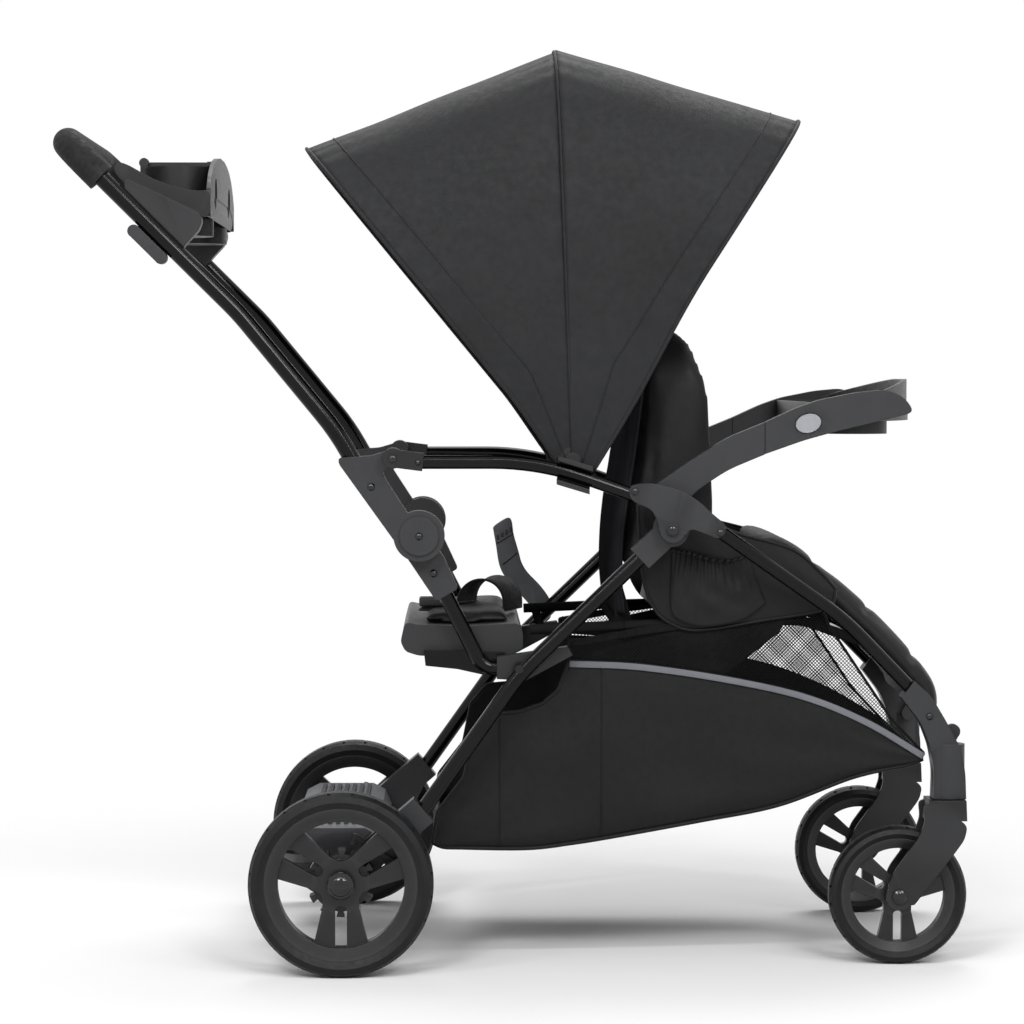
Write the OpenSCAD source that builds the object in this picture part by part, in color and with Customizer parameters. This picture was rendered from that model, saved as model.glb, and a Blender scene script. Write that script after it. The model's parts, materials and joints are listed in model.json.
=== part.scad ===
// Tandem stroller with a front seat, a rear bench and a standing platform.
// Units are millimetres. X points to the front wheels, Y to the stroller's left, Z up from the ground.

/* [Wheels] */
// Outer radius of a rear wheel
rear_r = 108; // [95:1:125]
// Outer radius of a front wheel
front_r = 82; // [70:1:95]
// Width of a rear tyre
rear_tyre_w = 40; // [30:1:46]
// Width of a front tyre
front_tyre_w = 34; // [26:1:36]
// Distance of the rear wheel's middle plane from the centre
rear_half_track = 281; // [276:1:300]
// Distance of the front wheel's middle plane from the centre
front_half_track = 197; // [190:1:205]

/* [Tubes] */
// Diameter of the handle tube
handle_d = 20; // [16:0.5:21]
// Diameter of the rear leg tubes
leg_d = 18; // [14:0.5:20]
// Diameter of the lower pusher tubes
lower_d = 18; // [14:0.5:19]
// Diameter of the armrest and front leg tubes
arm_d = 16; // [12:0.5:16]
// Wall of every tube
tube_wall = 1.5; // [1:0.1:2.5]

/* [Fabric] */
// Reach of the canopy bows from their pivot
canopy_r = 491; // [440:1:520]
// Half width of the canopy at its pivot
canopy_half_w = 243; // [220:1:244]
// Thickness of the canopy cloth
cloth_t = 2.4; // [1.5:0.1:4]
// Thickness of the basket cloth
basket_t = 3; // [2:0.1:4]

/* [Fits] */
// Radial clearance of every turning pin
pin_gap = 0.05; // [0.02:0.01:0.1]
// Clearance around a tube in its socket
socket_gap = 0.1; // [0.05:0.05:0.3]
// Clearance beside pieces that slide past each other
side_gap = 0.5; // [0.3:0.1:1]

/* [Hidden] */
$fn = 48;

// Fold pivots in X and Z
hub = [185, 520];
leg_pivot = [6, 356];
knee = [-111, 512];
arm_pivot = [-141.5, 603.5];
canopy_pivot = [69, 601];
recline_pivot = [132, 403];
rear_axle = [-202, rear_r];
front_axle = [458, front_r];
swivel_x = 518;

// Sideways planes, measured from the centre
lower_y = 213;
lower_in = 202.4;
lower_out = 224.2;
handle_y = 236;
upper_in = 224.6;
upper_out = 249.2;
leg_y = 237;
leg_in = 225.6;
leg_out = 248.8;
arm_y = 259.2;
arm_in = 249.8;
arm_out = 269.4;

// Gap between the sections of a tube, and the air left past a tube's end in its socket
hairline = 0.01;
socket_end = 0.3;
// How much narrower a bar is than its round ends
slot_step = 0.4;

// Tube centre lines in X and Z, and their bend radii
armrest_pts = [[-128, 599], [30, 599], [150, 557]];
armrest_bend = 330;
front_leg_toe = 13.27;
front_leg_x = 222;
front_leg_pts = [[0, 531], [173, 413], [264, 322]];
front_leg_bend = 380;
rear_leg_pts = [[160, 496.5], [8, 350], [-110, 184]];
rear_leg_bend = 260;
lower_pts = [[-98, 476], [-36, 354], [-8, 354]];
lower_bend = 26;
handle_pts = [[-166, 560], [-207.8, 634], [-321.7, 772.5]];
handle_top = [-526, 975];
handle_bend = 300;
handle_corner = 60;
grip_d = 36;
grip_reach = 3;

// Angles of the three canopy bows, counted up from the front
bow_front = 56.8;
bow_mid = 92.1;
bow_rear = 129.6;

black = [0.03, 0.03, 0.035];
charcoal = [0.09, 0.09, 0.095];
cloth = [0.05, 0.05, 0.055];
grey = [0.42, 0.43, 0.45];
light_grey = [0.5, 0.51, 0.53];

// Shared building blocks

// Repeats a right-hand piece on the left
module both() {
  children();
  mirror([0, 1, 0]) children();
}

// Extrudes an outline drawn in X and Z between two sideways planes
module across(y0, y1) {
  translate([0, y1, 0]) rotate([90, 0, 0]) linear_extrude(height = y1 - y0) children();
}

// A bar with square ends between two points of an outline
module bar2(p, q, w) {
  v = q - p;
  translate(p) rotate(atan2(v[1], v[0])) translate([0, -w / 2]) square([norm(v), w]);
}

// A bar with round ends between two points of an outline
module slot2(p, q, w) {
  bar2(p, q, w - slot_step);
  translate(p) circle(d = w);
  translate(q) circle(d = w);
}

// A round bar along Y
module pin_y(p, d, y0, y1) {
  translate([p[0], y1, p[1]]) rotate([90, 0, 0]) cylinder(h = y1 - y0, d = d);
}

// A ring section, or a disc when the inner diameter is zero
module ring2(do, di) {
  difference() {
    circle(d = do);
    if (di > 0) circle(d = di);
  }
}

function unit(v) = v / norm(v);
function turn_at(p, i) =
  let (a = unit(p[i] - p[i - 1]), b = unit(p[i + 1] - p[i]))
  atan2(a[0] * b[1] - a[1] * b[0], a[0] * b[0] + a[1] * b[1]);
function cut_at(p, i, r) = (i == 0 || i == len(p) - 1) ? 0 : r * tan(abs(turn_at(p, i)) / 2);

// A bent tube along points in X and Z, lying in the plane Y = 0, with a hairline between its sections
module pipe(p, r, do, di) {
  rotate([90, 0, 0]) {
    for (i = [0:len(p) - 2]) {
      d = unit(p[i + 1] - p[i]);
      a = p[i] + d * (cut_at(p, i, r) + (i > 0 ? hairline : 0));
      b = p[i + 1] - d * (cut_at(p, i + 1, r) + (i < len(p) - 2 ? hairline : 0));
      translate([a[0], a[1], 0]) rotate([0, 90, atan2(d[1], d[0])])
        linear_extrude(height = norm(b - a)) ring2(do, di);
    }
    if (len(p) > 2) for (i = [1:len(p) - 2]) {
      d = unit(p[i] - p[i - 1]);
      t = turn_at(p, i);
      s = sign(t);
      a = p[i] - d * cut_at(p, i, r);
      c = a + s * r * [-d[1], d[0]];
      start = atan2(a[1] - c[1], a[0] - c[0]);
      translate([c[0], c[1], 0]) rotate([0, 0, s > 0 ? start : start + t])
        rotate_extrude(angle = abs(t), $fn = 96) translate([r, 0]) ring2(do, di);
    }
  }
}

// One straight section of a bent tube as a solid bar, to cut a socket with
module pipe_run(p, r, i, d) {
  v = unit(p[i + 1] - p[i]);
  a = p[i] + v * (cut_at(p, i, r) - (i == 0 ? socket_end : 0));
  b = p[i + 1] - v * (cut_at(p, i + 1, r) - (i == len(p) - 2 ? socket_end : 0));
  rotate([90, 0, 0]) translate([a[0], a[1], 0]) rotate([0, 90, atan2(v[1], v[0])]) cylinder(h = norm(b - a), d = d);
}

// Eases the corners of an outline by up to t along each edge, but for the corners listed as sharp
ease_steps = 4;
function is_in(i, list) = len([for (x = list) if (x == i) x]) > 0;
function eased(p, t, sharp = []) = [for (i = [0:len(p) - 1]) for (k = [0:(is_in(i, sharp) ? 0 : ease_steps)])
  let (b = p[i], a = p[(i + len(p) - 1) % len(p)], c = p[(i + 1) % len(p)], s = k / ease_steps,
    e = is_in(i, sharp) ? 0 : t,
    u = b + unit(a - b) * min(e, norm(a - b) * 0.45), v = b + unit(c - b) * min(e, norm(c - b) * 0.45))
  u * pow(1 - s, 2) + b * (2 * s * (1 - s)) + v * (s * s)];

function sum_of(v, i = 0) = i < len(v) ? v[i] + sum_of(v, i + 1) : 0;

// A closed soft piece between two grids of points with the same rows and columns
module two_skin(a, b) {
  r = len(a);
  c = len(a[0]);
  n = r * c;
  pts = concat([for (row = a) for (p = row) p], [for (row = b) for (p = row) p]);
  quads = concat(
    [for (i = [0:r - 2]) for (j = [0:c - 2])
      [i * c + j, i * c + j + 1, (i + 1) * c + j + 1, (i + 1) * c + j]],
    [for (i = [0:r - 2]) for (j = [0:c - 2])
      [n + i * c + j, n + (i + 1) * c + j, n + (i + 1) * c + j + 1, n + i * c + j + 1]],
    [for (j = [0:c - 2]) [j, n + j, n + j + 1, j + 1]],
    [for (j = [0:c - 2]) let (k = (r - 1) * c + j) [k, k + 1, n + k + 1, n + k]],
    [for (i = [0:r - 2]) let (k = i * c) [k, k + c, n + k + c, n + k]],
    [for (i = [0:r - 2]) let (k = i * c + c - 1) [k, n + k, n + k + c, k + c]]
  );
  tris = [for (q = quads) each [[q[0], q[1], q[2]], [q[0], q[2], q[3]]]];
  vol = sum_of([for (t = tris) pts[t[0]] * cross(pts[t[1]], pts[t[2]])]);
  polyhedron(points = pts, faces = vol < 0 ? tris : [for (t = tris) [t[0], t[2], t[1]]], convexity = 8);
}

// Tube shapes that castings are also cut with

module armrest_cut(i) {
  translate([0, -arm_y, 0]) pipe_run(armrest_pts, armrest_bend, i, arm_d + 2 * socket_gap);
}

module front_leg_cut(i) {
  translate([front_leg_x, -arm_y, 0]) rotate([0, 0, front_leg_toe])
    pipe_run(front_leg_pts, front_leg_bend, i, arm_d + 2 * socket_gap);
}

module rear_leg_cut(i) {
  translate([0, -leg_y, 0]) pipe_run(rear_leg_pts, rear_leg_bend, i, leg_d + 2 * socket_gap);
}

module lower_cut(i) {
  translate([0, -lower_y, 0]) pipe_run(lower_pts, lower_bend, i, lower_d + 2 * socket_gap);
}

module handle_cut(i) {
  translate([0, -handle_y, 0])
    pipe_run(concat(handle_pts, [handle_end]), handle_bend, i, handle_d + 2 * socket_gap);
}

module armrest_shape(do, di) {
  translate([0, -arm_y, 0]) pipe(armrest_pts, armrest_bend, do, di);
}

module front_leg_shape(do, di) {
  translate([front_leg_x, -arm_y, 0]) rotate([0, 0, front_leg_toe])
    pipe(front_leg_pts, front_leg_bend, do, di);
}

module rear_leg_shape(do, di) {
  translate([0, -leg_y, 0]) pipe(rear_leg_pts, rear_leg_bend, do, di);
}

module lower_shape(do, di) {
  translate([0, -lower_y, 0]) pipe(lower_pts, lower_bend, do, di);
}

handle_dir = unit(handle_top - handle_pts[2]);
handle_end = handle_top - handle_dir * handle_corner;

module handle_side(do, di) {
  translate([0, -handle_y, 0]) pipe(concat(handle_pts, [handle_end - handle_dir * hairline]), handle_bend, do, di);
}

// The corner that turns the side tube into the cross bar
module handle_turn(do, di) {
  translate([handle_end[0], -handle_y, handle_end[1]])
    rotate([0, -atan2(handle_dir[1], handle_dir[0]), 0])
      translate([0, handle_corner, 0]) rotate([0, 0, -90])
        rotate_extrude(angle = 90, $fn = 96) translate([handle_corner, 0]) ring2(do, di);
}

module handle_cross(do, di) {
  half = handle_y - handle_corner - hairline;
  translate([handle_top[0], half, handle_top[1]]) rotate([90, 0, 0]) linear_extrude(height = 2 * half) ring2(do, di);
}

// Front frame

module armrest_tubes() {
  color(black) both() armrest_shape(arm_d, arm_d - 2 * tube_wall);
}

armrest_end_r = 12;
armrest_end_tip = [-106, 599];
screw_d = 8;
screw_h = 1.6;
armrest_end_in = 249.8;

module armrest_ends() {
  color(charcoal) both() {
    difference() {
      across(-arm_out, -armrest_end_in) {
        translate(arm_pivot) circle(r = armrest_end_r);
        bar2(arm_pivot, armrest_end_tip, 2 * armrest_end_r - 3);
      }
      armrest_cut(0);
    }
    pin_y(arm_pivot, screw_d, -arm_out - screw_h, -arm_out);
    pin_y(armrest_end_tip - [6, 0], screw_d - 2, -arm_out - screw_h, -arm_out);
  }
}

hub_outline = [
  [133, 572], [160, 575], [190, 568], [213, 556], [232, 538], [250, 524],
  [240, 508], [222, 516], [206, 522], [199, 512], [171, 512], [168, 530],
  [160, 545], [136, 553]
];
hub_boss_r = 15;
pin_d = 12;
hub_screws = [[141, 565], [241, 517]];

module hub_castings() {
  color(charcoal) both() {
    difference() {
      across(-arm_out, -arm_in) {
        polygon(eased(hub_outline, 12));
        translate(hub) circle(r = hub_boss_r);
      }
      armrest_cut(1);
      front_leg_cut(0);
    }
    pin_y(hub, screw_d + 6, -arm_out - 2 * screw_h, -arm_out);
    pin_y(hub, pin_d, -arm_in, -leg_in - 1);
    for (s = hub_screws) pin_y(s, screw_d, -arm_out - screw_h, -arm_out);
  }
}

module front_legs() {
  color(black) both() front_leg_shape(arm_d, arm_d - 2 * tube_wall);
}

socket_outline = [
  [461, 318], [476, 338], [496, 320], [515, 288], [532, 256], [537, 228], [538, 197],
  [499, 197], [500, 230], [495, 260], [484, 288]
];
socket_half_t = 16;
socket_bottom = 197;
socket_r = 20;
socket_top = 262;
stem_d = 12;
stem_top = 250;
lock_pivot = [520, 262];
lock_pin_d = 6;
lock_pin_in = 6;
lock_t = 8;
lock_w = 18;
lock_tip = [7, 12];

module caster_sockets() {
  color(charcoal) both() difference() {
    union() {
      across(-front_half_track - socket_half_t, -front_half_track + socket_half_t)
        polygon(eased(socket_outline, 9, [0, 1, 6, 7]));
      translate([swivel_x, -front_half_track, socket_bottom])
        cylinder(h = socket_top - socket_bottom, r = socket_r);
    }
    front_leg_cut(1);
    translate([swivel_x, -front_half_track, socket_bottom - 1])
      cylinder(h = stem_top - socket_bottom + 1, d = stem_d + 2 * pin_gap);
    pin_y(lock_pivot, lock_pin_d + 2 * pin_gap,
      -front_half_track + socket_half_t - lock_pin_in - 1, -front_half_track + socket_r + 1);
  }
}

cross_tube_at = [421.5, 381];
cross_tube_half = 210;
cross_tube_d = 12;

module front_cross_tube() {
  color(black) difference() {
    translate([cross_tube_at[0], cross_tube_half, cross_tube_at[1]]) rotate([90, 0, 0])
      linear_extrude(height = 2 * cross_tube_half) ring2(cross_tube_d, cross_tube_d - 2 * tube_wall);
    both() front_leg_cut(1);
  }
}

rail_y = 189;
rail_d = 12;
rail_knee = [345, 409];
rail_end = cross_tube_at - unit(cross_tube_at - rail_knee) * (cross_tube_d / 2 + socket_gap);
rail_pts = [[20, 398], recline_pivot, rail_knee, rail_end];
rail_bend = 90;
rail_cross_x = 34;
recline_d = 8;
recline_in = 160;

module seat_rails() {
  color(black) {
    both() translate([0, -rail_y, 0]) pipe(rail_pts, rail_bend, rail_d, 0);
    pin_y([rail_cross_x, 398.6], rail_d - 2, -rail_y, rail_y);
    both() pin_y(recline_pivot, recline_d, -rail_y, -recline_in);
  }
}

cushion_x0 = 166;
cushion_x1 = 338;
cushion_half_w = 192;
cushion_rise = 54;
cushion_lift = 0.1;
rail_slope = (rail_knee[1] - recline_pivot[1]) / (rail_knee[0] - recline_pivot[0]);
function rail_top(x) = recline_pivot[1] + (x - recline_pivot[0]) * rail_slope + rail_d / 2;
function crown(t, k) = pow(max(0, 1 - pow(abs(2 * t - 1), k)), 0.5);

module seat_cushion() {
  m = 14;
  n = 16;
  top = [for (i = [0:m]) [for (j = [0:n])
    let (s = i / m, t = j / n, x = cushion_x0 + (cushion_x1 - cushion_x0) * s,
      y = -cushion_half_w + 2 * cushion_half_w * t,
      channel = 3 * pow(cos(s * 720), 8))
    [x, y, rail_top(x) + cushion_lift + 6 + (cushion_rise - channel) * crown(s, 6) * crown(t, 6)]]];
  low = [for (i = [0:m]) [for (j = [0:n])
    let (s = i / m, t = j / n, x = cushion_x0 + (cushion_x1 - cushion_x0) * s)
    [x, -cushion_half_w + 2 * cushion_half_w * t, rail_top(x) + cushion_lift]]];
  color(cloth) two_skin(top, low);
}

panel_in = 197.4;
panel_t = 2.5;
panel_outline = [
  [148, 548], [153, 467], [166, 426], [187, 406], [221, 398], [372, 423],
  [384, 446], [331, 494], [266, 513], [238, 528], [190, 556], [166, 572]
];
pocket_outline = [[190, 492], [240, 480], [276, 486], [300, 440], [262, 412], [214, 410], [188, 426]];
pocket_bulge = 5;

module side_panels() {
  color(cloth) both() {
    across(-panel_in - panel_t, -panel_in) polygon(panel_outline);
    across(-panel_in - panel_t - pocket_bulge, -panel_in - panel_t) polygon(pocket_outline);
  }
}

leg_pad_line = [
  [300, 508], [340, 487], [368, 462], [390, 446], [424, 416], [456, 384], [482, 354], [502, 325], [509, 302]
];
leg_pad_t = 20.4;
// Room between the leg pad's sides and the middle planes of the casters
leg_pad_side = 17;
leg_pad_half = front_half_track - leg_pad_side;
function line_dir(p, i) = unit(p[min(i + 1, len(p) - 1)] - p[max(i - 1, 0)]);

module leg_pad() {
  n = 14;
  m = len(leg_pad_line) - 1;
  top = [for (i = [0:m]) [for (j = [0:n])
    let (t = j / n, d = line_dir(leg_pad_line, i), e = crown(t, 8) * crown(0.04 + 0.92 * i / m, 10),
      h = leg_pad_t * (1 - e) * 0.55, p = leg_pad_line[i])
    [p[0] + d[1] * h, -leg_pad_half + 2 * leg_pad_half * t, p[1] - d[0] * h]]];
  low = [for (i = [0:m]) [for (j = [0:n])
    let (t = j / n, d = line_dir(leg_pad_line, i), p = leg_pad_line[i])
    [p[0] + d[1] * leg_pad_t, -leg_pad_half + 2 * leg_pad_half * t, p[1] - d[0] * leg_pad_t]]];
  color(cloth) two_skin(top, low);
}

basket_in = 195.1;
basket_wall = [
  [67, 361], [150, 357], [253, 342], [345, 321.5], [420, 291], [489, 250], [489, 241],
  [405, 221], [316, 188], [126, 152], [16, 137], [-66, 138], [-96, 144], [-90, 182],
  [-58, 223], [-48, 274], [-27, 298], [7, 301], [36, 311], [54, 327], [64, 353]
];
basket_floor = [
  [489, 241], [405, 221], [316, 188], [126, 152], [16, 137], [-66, 138], [-96, 144],
  [-96, 147], [-66, 141], [16, 140], [126, 155], [316, 191], [404, 224], [488, 244]
];
basket_front = [[489, 241], [489, 250], [455, 270], [453, 268], [486, 246]];
basket_rear = [[-96, 144], [-90, 182], [-87, 182], [-92.5, 146]];

module basket() {
  color(cloth) {
    both() across(-basket_in - basket_t, -basket_in) polygon(basket_wall);
    across(-basket_in, basket_in) polygon(basket_floor);
    across(-basket_in, basket_in) polygon(basket_front);
    across(-basket_in, basket_in) polygon(basket_rear);
  }
}

mesh_outline = [
  [67, 361], [67, 369], [150, 389], [221, 406], [366, 430], [376, 402], [450, 292], [489, 250],
  [420, 291], [345, 321.5], [253, 342], [150, 357]
];
mesh_inner = [[180, 360], [300, 385], [362, 396], [366, 388], [424, 302], [345, 333], [253, 353]];
mesh_pitch = 13;
mesh_hole = 9.6;
mesh_t = 2;
mesh_x0 = 190;
mesh_z0 = 304;
mesh_cols = 17;
mesh_rows = 7;

module basket_mesh() {
  color(charcoal) both() across(-basket_in - mesh_t, -basket_in) difference() {
    polygon(mesh_outline);
    intersection() {
      polygon(mesh_inner);
      for (i = [0:mesh_cols - 1]) for (j = [0:mesh_rows - 1])
        translate([mesh_x0 + i * mesh_pitch, mesh_z0 + j * mesh_pitch + (i % 2) * mesh_pitch / 2])
          rotate(45) square(mesh_hole / 1.2, center = true);
    }
  }
}

clip_in = 247.6;
clip_w = 18;
clip_low = [64, 584];
clip_face = arm_y - arm_d / 2 - socket_gap;
clip_over = [[52, 600.4], [92, 588], [92, 594], [52, 606]];
clip_under = [[50, 579], [88, 567.5], [88, 561.5], [50, 573]];

module canopy_clips() {
  color(charcoal) both() {
    across(-clip_face, -clip_in) {
      slot2(clip_low, canopy_pivot, clip_w);
      polygon([clip_over[3], clip_over[2], clip_under[2], clip_under[3]]);
    }
    across(-arm_out, -clip_in) polygon(clip_over);
    across(-arm_out, -clip_in) polygon(clip_under);
  }
}

// Canopy: an arch from side to side, swept between two bow angles about the pivot

arch_power = 0.45;
arch_foot = 18;
bow_foot = 12;
arch_steps = 26;
function pw(v, k) = sign(v) * pow(abs(v), k);
function arch(a, w, r, foot) = [-w * pw(cos(a), arch_power), foot + (r - foot) * pow(max(sin(a), 0), arch_power)];
function sag(f, f0, f1) = cos((f1 - f0) / 2) / cos(f - (f0 + f1) / 2);
function canopy_pt(a, f, f0, f1, grow, foot = arch_foot) =
  let (q = arch(a, canopy_half_w + grow, canopy_r + grow, foot), k = sag(f, f0, f1), r = q[1] * (q[1] > foot ? k : 1))
  [canopy_pivot[0] + r * cos(f), q[0], canopy_pivot[1] + r * sin(f)];
function canopy_grid(f0, f1, rows, grow) =
  [for (i = [0:rows]) let (f = f0 + (f1 - f0) * i / rows)
    [for (j = [0:arch_steps]) canopy_pt(180 * j / arch_steps, f, f0, f1, grow)]];

panel_rows = 8;

module canopy_rear() {
  color(cloth) two_skin(canopy_grid(bow_mid, bow_rear, panel_rows, 0),
    canopy_grid(bow_mid, bow_rear, panel_rows, -cloth_t));
}

nest_gap = 0.8;
nest_turn = 0.25;
module canopy_front() {
  grow = cloth_t + nest_gap;
  color(cloth) two_skin(canopy_grid(bow_front, bow_mid - nest_turn, panel_rows, grow),
    canopy_grid(bow_front, bow_mid - nest_turn, panel_rows, nest_gap));
}

bow_t = 3;
bow_gap = 0.4;
bow_span = 2.2;
bow_disc_d = 30;
bow_pin_d = 14;
bow_disc_in = 231;
bow_disc_out = 240;
function bow_grid(f, p0, p1, grow) =
  [for (g = [f, f + bow_span]) [for (j = [0:arch_steps]) canopy_pt(180 * j / arch_steps, g, p0, p1, grow, bow_foot)]];

// A flat bow from angle f, lying under the cloth that spans p0 to p1
module bow(f, p0, p1, grow) {
  two_skin(bow_grid(f, p0, p1, grow), bow_grid(f, p0, p1, grow - bow_t));
}

module canopy_bows() {
  color(black) {
    bow(bow_rear - bow_span, bow_mid, bow_rear, -cloth_t - bow_gap);
    bow(bow_mid, bow_mid, bow_rear, -cloth_t - bow_gap);
    both() {
      pin_y(canopy_pivot, bow_pin_d, -clip_in, -bow_disc_in);
      pin_y(canopy_pivot, bow_disc_d, -bow_disc_out, -bow_disc_in);
    }
  }
}

module canopy_front_bow() {
  grow = nest_gap - bow_gap;
  color(black) {
    bow(bow_front, bow_front, bow_mid - nest_turn, grow);
    both() across(-canopy_half_w - grow, -canopy_half_w - grow + bow_t) translate(canopy_pivot)
      ring2(bow_disc_d, bow_pin_d + 2 * pin_gap);
  }
}

// Rear frame

module rear_legs() {
  color(black) both() rear_leg_shape(leg_d, leg_d - 2 * tube_wall);
}

axle_d = 10;
// How far the axle reaches past the middle of each rear wheel
axle_past = 13;
axle_half = rear_half_track + axle_past;
brake_rod = [-140, 128];
brake_rod_d = 10;
bracket_out = 250;

module axle_brackets() {
  color(charcoal) both() difference() {
    across(-bracket_out, -leg_in) {
      bar2([-106, 190], rear_axle, 36);
      translate(rear_axle) circle(r = 20);
      slot2([-118, 172], brake_rod, 24);
    }
    rear_leg_cut(1);
    pin_y(rear_axle, axle_d + 2 * socket_gap, -bracket_out - 1, -leg_in + 1);
    pin_y(brake_rod, brake_rod_d + 2 * pin_gap, -bracket_out - 1, -leg_in + 1);
  }
}

module rear_axle_rod() {
  color(grey) pin_y(rear_axle, axle_d, -axle_half, axle_half);
}

platform_outline = [
  [-268, 140], [-262, 158], [-246, 166], [-176, 166], [-160, 158], [-152, 140],
  [-157, 140], [-164, 155], [-178, 161], [-244, 161], [-258, 155], [-263, 140]
];
platform_rib = [[-265, 141], [-259, 156], [-243, 162], [-179, 162], [-163, 156], [-155, 141], [-186, 124], [-218, 124]];
platform_half = 225.4;
platform_boss_r = 19;
rib_t = 5;
rib_y = [-200, -120, -40, 40, 120, 200];

module platform() {
  color(grey) difference() {
    union() {
      across(-platform_half, platform_half) polygon(platform_outline);
      for (y = rib_y) across(y - rib_t / 2, y + rib_t / 2) polygon(platform_rib);
      both() across(-platform_half, -platform_half + rib_t) polygon(platform_rib);
      both() across(-platform_half, -platform_half + 20) translate(rear_axle) circle(r = platform_boss_r);
    }
    pin_y(rear_axle, axle_d + 2 * socket_gap, -platform_half - 1, platform_half + 1);
  }
}

tread_top = 169.5;
tread_n = 7;
module platform_tread() {
  color(charcoal) for (i = [0:tread_n - 1])
    translate([-240 + i * 9.6, -190, 166]) cube([5, 380, tread_top - 166]);
}

tray_arm_outline = [
  [168, 528], [162, 569], [205, 599], [250, 627], [294, 645], [294, 607.5], [252, 590], [220, 569.5],
  [206, 557], [200, 540]
];
eye_r = 21;
leg_socket_tip = [148, 485];
tray_tilt = 15;
tray_seam_x = 294;
tongue_from = [270, 614];
tongue_len = 56;
tongue_w = 18;
tongue_t = 10;
function tray_slide(d) = [cos(tray_tilt) * d, sin(tray_tilt) * d];

module tray_arms() {
  color(charcoal) both() difference() {
    union() {
      across(-leg_out, -leg_in) {
        polygon(eased(tray_arm_outline, 12, [4, 5, 8]));
        translate(hub) circle(r = eye_r);
        bar2(hub, leg_socket_tip, 30);
      }
      across(-leg_y - tongue_t / 2, -leg_y + tongue_t / 2)
        bar2(tongue_from, tongue_from + tray_slide(tongue_len), tongue_w);
    }
    rear_leg_cut(0);
    pin_y(hub, pin_d + 2 * pin_gap, -leg_out - 1, -leg_in + 1);
  }
}

leg_pin_d = 9;
leg_screws = [[152, 489], [-98, 201]];
module leg_pins() {
  color(black) both() {
    pin_y(leg_pivot, leg_pin_d, -leg_y + leg_d / 2 - 0.4, -lower_in);
    pin_y(leg_pivot, leg_pin_d + 5, -leg_y + leg_d / 2 - 0.4, -lower_out - side_gap);
    pin_y(leg_pivot + [0.5, -0.5], screw_d + 2, -leg_y - leg_d / 2 - screw_h, -leg_y - leg_d / 2 + 0.2);
  }
  color(black) pin_y(latch_base, latch_pin_d, leg_y + leg_d / 2 - 0.4, latch_out + 0.3);
}

// Lower pusher and rear bench

module lower_tubes() {
  color(black) both() lower_shape(lower_d, lower_d - 2 * tube_wall);
}

knee_r = 29;
knee_pin_d = 14;
knee_low_outline = [[-130, 492], [-91, 434], [-65, 449], [-84, 490], [-111, 512]];
knee_screw = [-94, 467];
module hinge_lower() {
  color(charcoal) both() difference() {
    union() {
      across(-lower_out, -lower_in) {
        translate(knee) circle(r = knee_r);
        polygon(eased(knee_low_outline, 4));
      }
    }
    lower_cut(0);
    pin_y(knee, knee_pin_d + 2 * pin_gap, -lower_out - 1, -lower_in + 1);
  }
}

lug_outline = [[-19.5, 342], [-19.5, 368], [10, 372], [64, 380], [70, 370], [14, 340]];
module pivot_lugs() {
  color(charcoal) both() difference() {
    across(-lower_out, -lower_in) polygon(lug_outline);
    lower_cut(1);
    pin_y(leg_pivot, leg_pin_d + 2 * pin_gap, -lower_out - 1, -lower_in + 1);
  }
}

link_in = 190.8;
link_outline = [[-106, 374], [-60, 374], [-26, 372], [-10, 372], [-8, 346], [-30, 344], [-66, 352], [-104, 356]];
module bench_links() {
  color(black) both() across(-lower_in, -link_in) polygon(link_outline);
}

bench_outline = [
  [-134, 384], [-128, 407], [-112, 404], [-60, 402], [6, 406], [12, 396], [12, 374], [-4, 367], [-112, 367], [-128, 372]
];
bench_core = [[-128, 384], [-122, 398], [-60, 396], [4, 400], [6, 378], [-8, 373], [-110, 373], [-124, 376]];
bench_half = 190.8;
bench_wall = 4;
module bench_shell() {
  color(charcoal) difference() {
    across(-bench_half, bench_half) polygon(eased(bench_outline, 5));
    across(-bench_half + bench_wall, bench_half - bench_wall) polygon(bench_core);
  }
}

bench_pad_x0 = -110;
bench_pad_x1 = -2;
bench_pad_half = 160;
bench_pad_rise = 12;
bench_pad_edge = 4;
function bench_top(x) = x < -60 ? 404 - (x + 112) * 2 / 52 : 402 + (x + 60) * 4 / 66;
module bench_pad() {
  m = 10;
  n = 14;
  top = [for (i = [0:m]) [for (j = [0:n])
    let (s = i / m, t = j / n, x = bench_pad_x0 + (bench_pad_x1 - bench_pad_x0) * s)
    [x, -bench_pad_half + 2 * bench_pad_half * t,
      bench_top(x) + bench_pad_edge + bench_pad_rise * crown(s, 5) * crown(t, 7)]]];
  low = [for (i = [0:m]) [for (j = [0:n])
    let (s = i / m, t = j / n, x = bench_pad_x0 + (bench_pad_x1 - bench_pad_x0) * s)
    [x, -bench_pad_half + 2 * bench_pad_half * t, bench_top(x) + socket_gap]]];
  color(cloth) two_skin(top, low);
}

belt_at = [-26, 418];
belt_r = 31;
belt_t = 4;
belt_half = 40;
module bench_belt() {
  color(black) across(-belt_half, belt_half) difference() {
    union() {
      translate(belt_at) circle(r = belt_r);
      translate(belt_at + [-belt_r, -12]) square([2 * belt_r, 12]);
    }
    translate(belt_at) circle(r = belt_r - belt_t);
    translate(belt_at + [-belt_r + belt_t, -13]) square([2 * belt_r - 2 * belt_t, 13]);
    translate(belt_at + [-belt_r - 1, -belt_r - 1]) square([2 * belt_r + 2, belt_r - 11]);
  }
}

// Handle

module handle_tube() {
  color(black) {
    both() {
      handle_side(handle_d, handle_d - 2 * tube_wall);
      handle_turn(handle_d, handle_d - 2 * tube_wall);
    }
    handle_cross(handle_d, handle_d - 2 * tube_wall);
  }
}

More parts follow.
